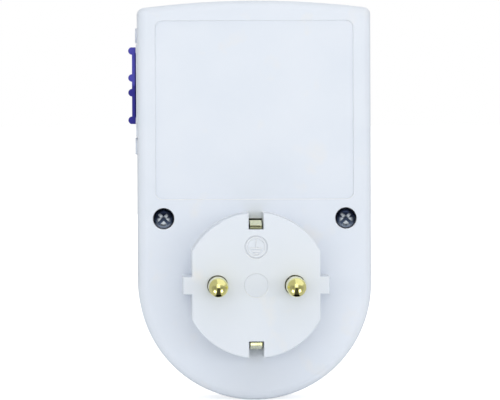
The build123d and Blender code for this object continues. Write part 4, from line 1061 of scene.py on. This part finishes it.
@dataclass
class DialGroup(Group):
    """The 24-hour dial, its tappets and what is printed on its face. Sizes in millimetres."""

    dressed: Dressed = ((DIAL_WHITE, ("dial",)), (TAPPET_BLUE, ("dial_cap",)))
    center_z: float = 43.8
    face_y: float = -55.6
    ink: float = 0.03
    hours: int = 24
    number_radius: float = 14.75
    number_size: float = 2.9
    tick_outer: float = 17.35
    number_space: float = 0.92
    hour_tick: tuple[float, float] = (0.95, 0.24)
    half_tick: tuple[float, float] = (0.5, 0.16)
    ring_radius: float = 12.75
    ring_width: float = 0.16
    band_inner: float = 11.3
    band_outer: float = 12.3
    band_run: float = 5.0
    run_steps: int = 2
    night: tuple[float, float] = (-90, 90)
    day: tuple[float, float] = (90, 270)
    symbol_radius: float = 8.9
    sun_radius: float = 0.75
    sun_steps: int = 23
    rays: int = 8
    ray_tip: float = 1.65
    ray_foot: float = 1.0
    ray_half_angle: float = 14.0
    moon_radius: float = 1.35
    moon_arc: tuple[float, float, int] = (-150, 30, 18)
    bite_radius: float = 1.12
    bite_arc: tuple[float, float, int] = (18, -138, 16)
    bite_offset: Point2 = (0.55, -0.32)
    arrow_radius: float = 6.9
    arrow_half: float = 0.22
    arrow_barb: float = 0.75
    arrow_starts: tuple[float, float] = (-38, 142)
    arrow_sweep: float = 62.0
    arrow_tip: float = 14.0
    groups: int = 8
    body: str = "dial_body"

    def build(self, shop: Workshop) -> None:
        """Dresses the dial and its tappets, and prints its face.

        Args:
            shop: The workshop.
        """
        super().build(shop)
        tappets = [f"tappets_{group:02d}" for group in range(1, self.groups + 1)]
        shop.dress(TAPPET_BLUE, *tappets)
        shop.piece("dial_lines", self.lines(), DIAL_INK, self.body)
        shop.piece("dial_symbols", self.symbols(), DIAL_INK, self.body)
        shop.piece("dial_numbers", self.numbers(), DIAL_INK, self.body)

    def printed(self, shape: bmesh.types.BMesh, outline: Iterable[Point2]) -> None:
        """Adds one printed shape, whose points are measured from the dial's centre."""
        moved = [(x, z + self.center_z) for x, z in outline]
        add_prism(shape, moved, self.face_y - self.ink, self.face_y + self.ink)

    def band(
        self, shape: bmesh.types.BMesh, inner: float, outer: float, start: float, end: float
    ) -> None:
        """Adds a printed band, in short runs.

        Args:
            shape: The mesh that it is added to.
            inner: Its inner radius.
            outer: Its outer radius.
            start: Its first angle, in degrees, clockwise from straight up.
            end: Its last angle.
        """
        runs = max(1, int(abs(end - start) / self.band_run))
        for run in range(runs):
            low = start + (end - start) * run / runs
            high = start + (end - start) * (run + 1) / runs
            outline = arc_points(outer, low, high, self.run_steps)
            self.printed(shape, outline + arc_points(inner, high, low, self.run_steps))

    def lines(self) -> bmesh.types.BMesh:
        """Draws the hour and half-hour lines, the ring inside the numbers and the night band.

        Returns:
            The mesh.
        """
        shape = bmesh.new()
        for index in range(2 * self.hours):
            angle = math.radians(index * FULL_TURN / (2 * self.hours))
            length, width = self.half_tick if index % 2 else self.hour_tick
            along = Vector((math.sin(angle), math.cos(angle)))
            across = Vector((along.y, -along.x)) * width / 2
            near = along * (self.tick_outer - length)
            far = along * self.tick_outer
            corners = (near - across, far - across, far + across, near + across)
            self.printed(shape, [(corner.x, corner.y) for corner in corners])
        self.band(shape, self.ring_radius, self.ring_radius + self.ring_width, 0, FULL_TURN)
        self.band(shape, self.band_inner, self.band_outer, *self.night)
        self.band(shape, self.band_inner, self.band_inner + self.ring_width, *self.day)
        self.band(shape, self.band_outer - self.ring_width, self.band_outer, *self.day)
        return shape

    def symbols(self) -> bmesh.types.BMesh:
        """Draws a sun for the day, a moon for the night and arrows the way the dial turns.

        Returns:
            The mesh.
        """
        shape = bmesh.new()
        sun = (0.0, -self.symbol_radius)
        last = FULL_TURN * self.sun_steps / (self.sun_steps + 1)
        self.printed(shape, arc_points(self.sun_radius, 0, last, self.sun_steps, sun))
        for ray in range(self.rays):
            angle = ray * FULL_TURN / self.rays
            low, high = angle - self.ray_half_angle, angle + self.ray_half_angle
            tip = arc_points(self.ray_tip, angle, angle, 1, sun)[:1]
            foot = arc_points(self.ray_foot, low, high, 1, sun)
            self.printed(shape, tip + foot[::-1])
        moon = (0.0, self.symbol_radius)
        bite = (moon[0] + self.bite_offset[0], moon[1] + self.bite_offset[1])
        outer = arc_points(self.moon_radius, *self.moon_arc, moon)
        self.printed(shape, outer + arc_points(self.bite_radius, *self.bite_arc, bite))
        for start in self.arrow_starts:
            end = start + self.arrow_sweep
            low, high = self.arrow_radius - self.arrow_half, self.arrow_radius + self.arrow_half
            self.band(shape, low, high, start, end)
            head = []
            for radius, angle in (
                (self.arrow_radius, end + self.arrow_tip),
                (self.arrow_radius - self.arrow_barb, end),
                (self.arrow_radius + self.arrow_barb, end),
            ):
                head += arc_points(radius, angle, angle, 1)[:1]
            self.printed(shape, head)
        return shape

    def numbers(self) -> bmesh.types.BMesh:
        """Sets the hours 1 to 24, which run against the way the dial turns.

        Returns:
            The mesh.
        """
        shape = bmesh.new()
        for hour in range(1, self.hours + 1):
            letters = bpy.data.curves.new("hour", "FONT")
            letters.body = str(hour)
            letters.size = self.number_size
            letters.align_x = "CENTER"
            letters.align_y = "CENTER"
            letters.extrude = self.ink
            letters.space_character = self.number_space
            holder = bpy.data.objects.new("hour", letters)
            flat = bpy.data.meshes.new_from_object(holder)
            upright = Matrix.Rotation(math.radians(90), 4, "X")
            outward = Matrix.Translation((0, 0, self.number_radius))
            turned = Matrix.Rotation(math.radians(-hour * FULL_TURN / self.hours), 4, "Y")
            place = Matrix.Translation((0, self.face_y, self.center_z))
            flat.transform(place @ turned @ outward @ upright)
            shape.from_mesh(flat)
            bpy.data.objects.remove(holder)
            bpy.data.meshes.remove(flat)
            bpy.data.curves.remove(letters)
        return shape


# ---- studio ----------------------------------------------------------------------------


@dataclass
class PictureCamera:
    """A long lens, almost straight behind the casing. Lengths in metres, angles in degrees."""

    aim: Point3 = (0.00148, 0.0, 0.02097)
    distance: float = 2.255
    yaw: float = 1.03
    pitch: float = 1.10
    roll: float = 0.23
    lens: float = 662.8
    sight: float = 50.0

    def build(self) -> None:
        """Makes the camera and gives it to the scene."""
        data = bpy.data.cameras.new("picture_camera")
        data.lens = self.lens
        data.clip_end = self.sight
        camera = bpy.data.objects.new("picture_camera", data)
        bpy.context.scene.collection.objects.link(camera)
        yaw, pitch, roll = (math.radians(angle) for angle in (self.yaw, self.pitch, self.roll))
        level = Vector((math.sin(yaw), math.cos(yaw), 0)) * math.cos(pitch)
        back = level + Vector((0, 0, math.sin(pitch)))
        right = (-back).cross(Vector((0, 0, 1))).normalized()
        up = right.cross(-back)
        upright = Matrix((right, up, back)).transposed()
        camera.rotation_euler = (upright @ Matrix.Rotation(-roll, 3, "Z")).to_euler()
        camera.location = Vector(self.aim) + back * self.distance
        bpy.context.scene.camera = camera
        LOG.info("made the camera, %.3f m away", self.distance)


@dataclass(frozen=True)
class Softbox:
    """A soft lamp. Lengths in metres, power in watts."""

    name: str
    place: Point3
    width: float
    height: float
    power: float
    aim: Point3 = (0.0, -0.03, 0.02)
    in_gloss: bool = True

    def build(self) -> None:
        """Makes the lamp, hidden from the camera."""
        data = bpy.data.lights.new(self.name, "AREA")
        data.shape = "RECTANGLE"
        data.size = self.width
        data.size_y = self.height
        data.energy = self.power
        lamp = bpy.data.objects.new(self.name, data)
        bpy.context.scene.collection.objects.link(lamp)
        lamp.location = self.place
        toward = Vector(self.aim) - Vector(self.place)
        lamp.rotation_euler = toward.to_track_quat("-Z", "Y").to_euler()
        lamp.visible_camera = False
        lamp.visible_glossy = self.in_gloss
        LOG.info("made the lamp %s", self.name)


@dataclass(frozen=True)
class Card:
    """A card that only shows in glossy surfaces: a patch of a sphere about the plug's pins.

    A direction is a tilt, from the camera's side upwards, and a swing sideways to the slider's
    side, both in degrees. The distance is in metres.
    """

    name: str
    brightness: float
    tilt: tuple[float, float]
    swing: tuple[float, float]
    distance: float = 1.7
    step: float = 8.0

    def place(self, tilt: float, swing: float) -> Point3:
        """Finds the point that lies in a direction.

        Args:
            tilt: How far the direction is turned upwards.
            swing: How far it is turned sideways.

        Returns:
            The point.
        """
        tilt, swing = math.radians(tilt), math.radians(swing)
        level = self.distance * math.cos(swing)
        return (self.distance * math.sin(swing), level * math.cos(tilt), level * math.sin(tilt))

    def steps(self, ends: tuple[float, float]) -> list[float]:
        """The angles that divide a range into even steps."""
        count = max(1, round(abs(ends[1] - ends[0]) / self.step))
        return [ends[0] + (ends[1] - ends[0]) * index / count for index in range(count + 1)]

    def build(self) -> None:
        """Makes the card as stage, hidden from all but glossy rays."""
        shape = bmesh.new()
        grid = [
            [shape.verts.new(self.place(tilt, swing)) for swing in self.steps(self.swing)]
            for tilt in self.steps(self.tilt)
        ]
        for near, far in zip(grid, grid[1:]):
            for run in range(len(near) - 1):
                shape.faces.new((near[run], near[run + 1], far[run + 1], far[run]))
        graph = ShaderGraph(self.name)
        glow = graph.add("ShaderNodeEmission", {"Strength": self.brightness})
        graph.feed(graph.output.inputs["Surface"], glow.outputs["Emission"])
        card = placed(self.name, shape, graph.material)
        for kind in ("camera", "diffuse", "shadow", "transmission", "volume_scatter"):
            setattr(card, f"visible_{kind}", False)
        card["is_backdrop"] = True
        LOG.info("made the card %s", self.name)


@dataclass
class Studio:
    """A pale floor, a white background and soft lamps. Lengths in metres."""

    floor_size: float = 12.0
    floor_color: Rgb = (236, 237, 238)
    floor_patch_color: Rgb = (240, 241, 242)
    floor_patch: float = 0.9
    floor_detail: float = 1.0
    floor_squares: int = 8
    floor_lift: float = 0.6
    floor_bounce: float = 0.16
    daylight: float = 0.68
    daylight_color: Rgb = (252, 254, 255)
    softboxes: tuple[Softbox, ...] = (
        Softbox("overhead_softbox", (0.0, -0.03, 1.6), 1.8, 1.8, 3.5, in_gloss=False),
        Softbox("rear_softbox", (0.1, 1.9, 0.75), 1.5, 1.6, 5.0),
        Softbox("low_softbox", (-0.2, 1.9, 0.12), 2.4, 0.28, 8.8, in_gloss=False),
        Softbox("front_softbox", (-0.3, -1.9, 0.75), 1.5, 1.6, 7.0),
    )
    cards: tuple[Card, ...] = (
        Card("dark_bar", 0.07, (-5, -92), (-18, 18), 1.60),
        Card("dark_foot", 0.005, (-92, -150), (-18, 18), 1.60),
        Card("window", 2.6, (9, 27), (-8, 5), 1.62),
        Card("left_glow", 3.2, (-40, -76), (27, 50), 1.65),
        Card("right_glow", 3.2, (-30, -66), (-45, -24), 1.65),
        Card("left_shade", 0.32, (-22, 24), (24, 54), 1.66),
        Card("right_shade", 0.34, (-20, 16), (-54, -20), 1.66),
        Card("left_wall", 0.38, (-80, 45), (52, 88), 1.70),
        Card("right_wall", 0.40, (-90, 30), (-88, -50), 1.70),
        Card("sky", 1.0, (34, 125), (-66, 12), 2.5),
        Card("room", 0.55, (-180, 180), (-89, 89), 2.7),
    )

    def build(self) -> None:
        """Makes the world, the floor, the lamps and the cards."""
        self.world()
        self.floor()
        for lamp in self.softboxes:
            lamp.build()
        for card in self.cards:
            card.build()
        bpy.context.scene.view_settings.view_transform = "Standard"

    def world(self) -> None:
        """A world that lights softly and looks white behind the object and in gloss."""
        graph = WorldGraph("studio_world")
        rays = graph.add("ShaderNodeLightPath").outputs
        mirrored = graph.math("ADD", rays["Is Glossy Ray"], rays["Is Transmission Ray"])
        seen = graph.math("ADD", rays["Is Camera Ray"], mirrored)
        color = linear(self.daylight_color)
        soft = graph.add("ShaderNodeBackground", {"Color": color, "Strength": self.daylight})
        white = graph.add("ShaderNodeBackground", {"Color": (1, 1, 1, 1), "Strength": 1.0})
        both = graph.either(seen, soft.outputs["Background"], white.outputs["Background"])
        graph.feed(graph.output.inputs["Surface"], both)
        bpy.context.scene.world = graph.world

    def floor(self) -> None:
        """A plain pale floor under the object, lifted to white for the camera but for shadows."""
        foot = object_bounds()[0].z
        shape = bmesh.new()
        squares, half = self.floor_squares, self.floor_size / 2
        bmesh.ops.create_grid(shape, x_segments=squares, y_segments=squares, size=half)
        graph = ShaderGraph("studio_floor")
        noise = graph.noise(self.floor_patch / MM, self.floor_detail)
        patches = graph.rise(noise, NOISE_LOW, NOISE_HIGH)
        tone = graph.mixed(patches, self.floor_color, self.floor_patch_color)
        matt = graph.add("ShaderNodeBsdfDiffuse", {"Color": tone})
        bounce = graph.add("ShaderNodeEmission", {"Strength": self.floor_bounce})
        lift = graph.add("ShaderNodeEmission", {"Strength": self.floor_lift})
        rays = graph.add("ShaderNodeLightPath").outputs
        glow = graph.either(
            rays["Is Camera Ray"], bounce.outputs["Emission"], lift.outputs["Emission"]
        )
        both = graph.add("ShaderNodeAddShader")
        graph.feed(both.inputs[0], matt.outputs["BSDF"])
        graph.feed(both.inputs[1], glow)
        graph.feed(graph.output.inputs["Surface"], both.outputs["Shader"])
        floor = placed("studio_floor", shape, graph.material)
        floor.location = (0, 0, foot)
        floor.visible_glossy = False
        floor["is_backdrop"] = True
        LOG.info("made the floor")


def main() -> None:
    """Builds the camera, each sub-assembly in turn and the studio."""
    logging.basicConfig(level=logging.INFO, format="%(name)s: %(message)s")
    shop = Workshop()
    PictureCamera().build()
    groups: tuple[type[Group], ...] = (
        Casing, PlugPins, EarthPath, Fasteners, SocketParts, Clockwork, Switchwork, DialGroup,
    )
    for group in groups:
        LOG.info("building %s", group.__name__)
        group().build(shop)
    Studio().build()


if __name__ == "__main__":
    main()
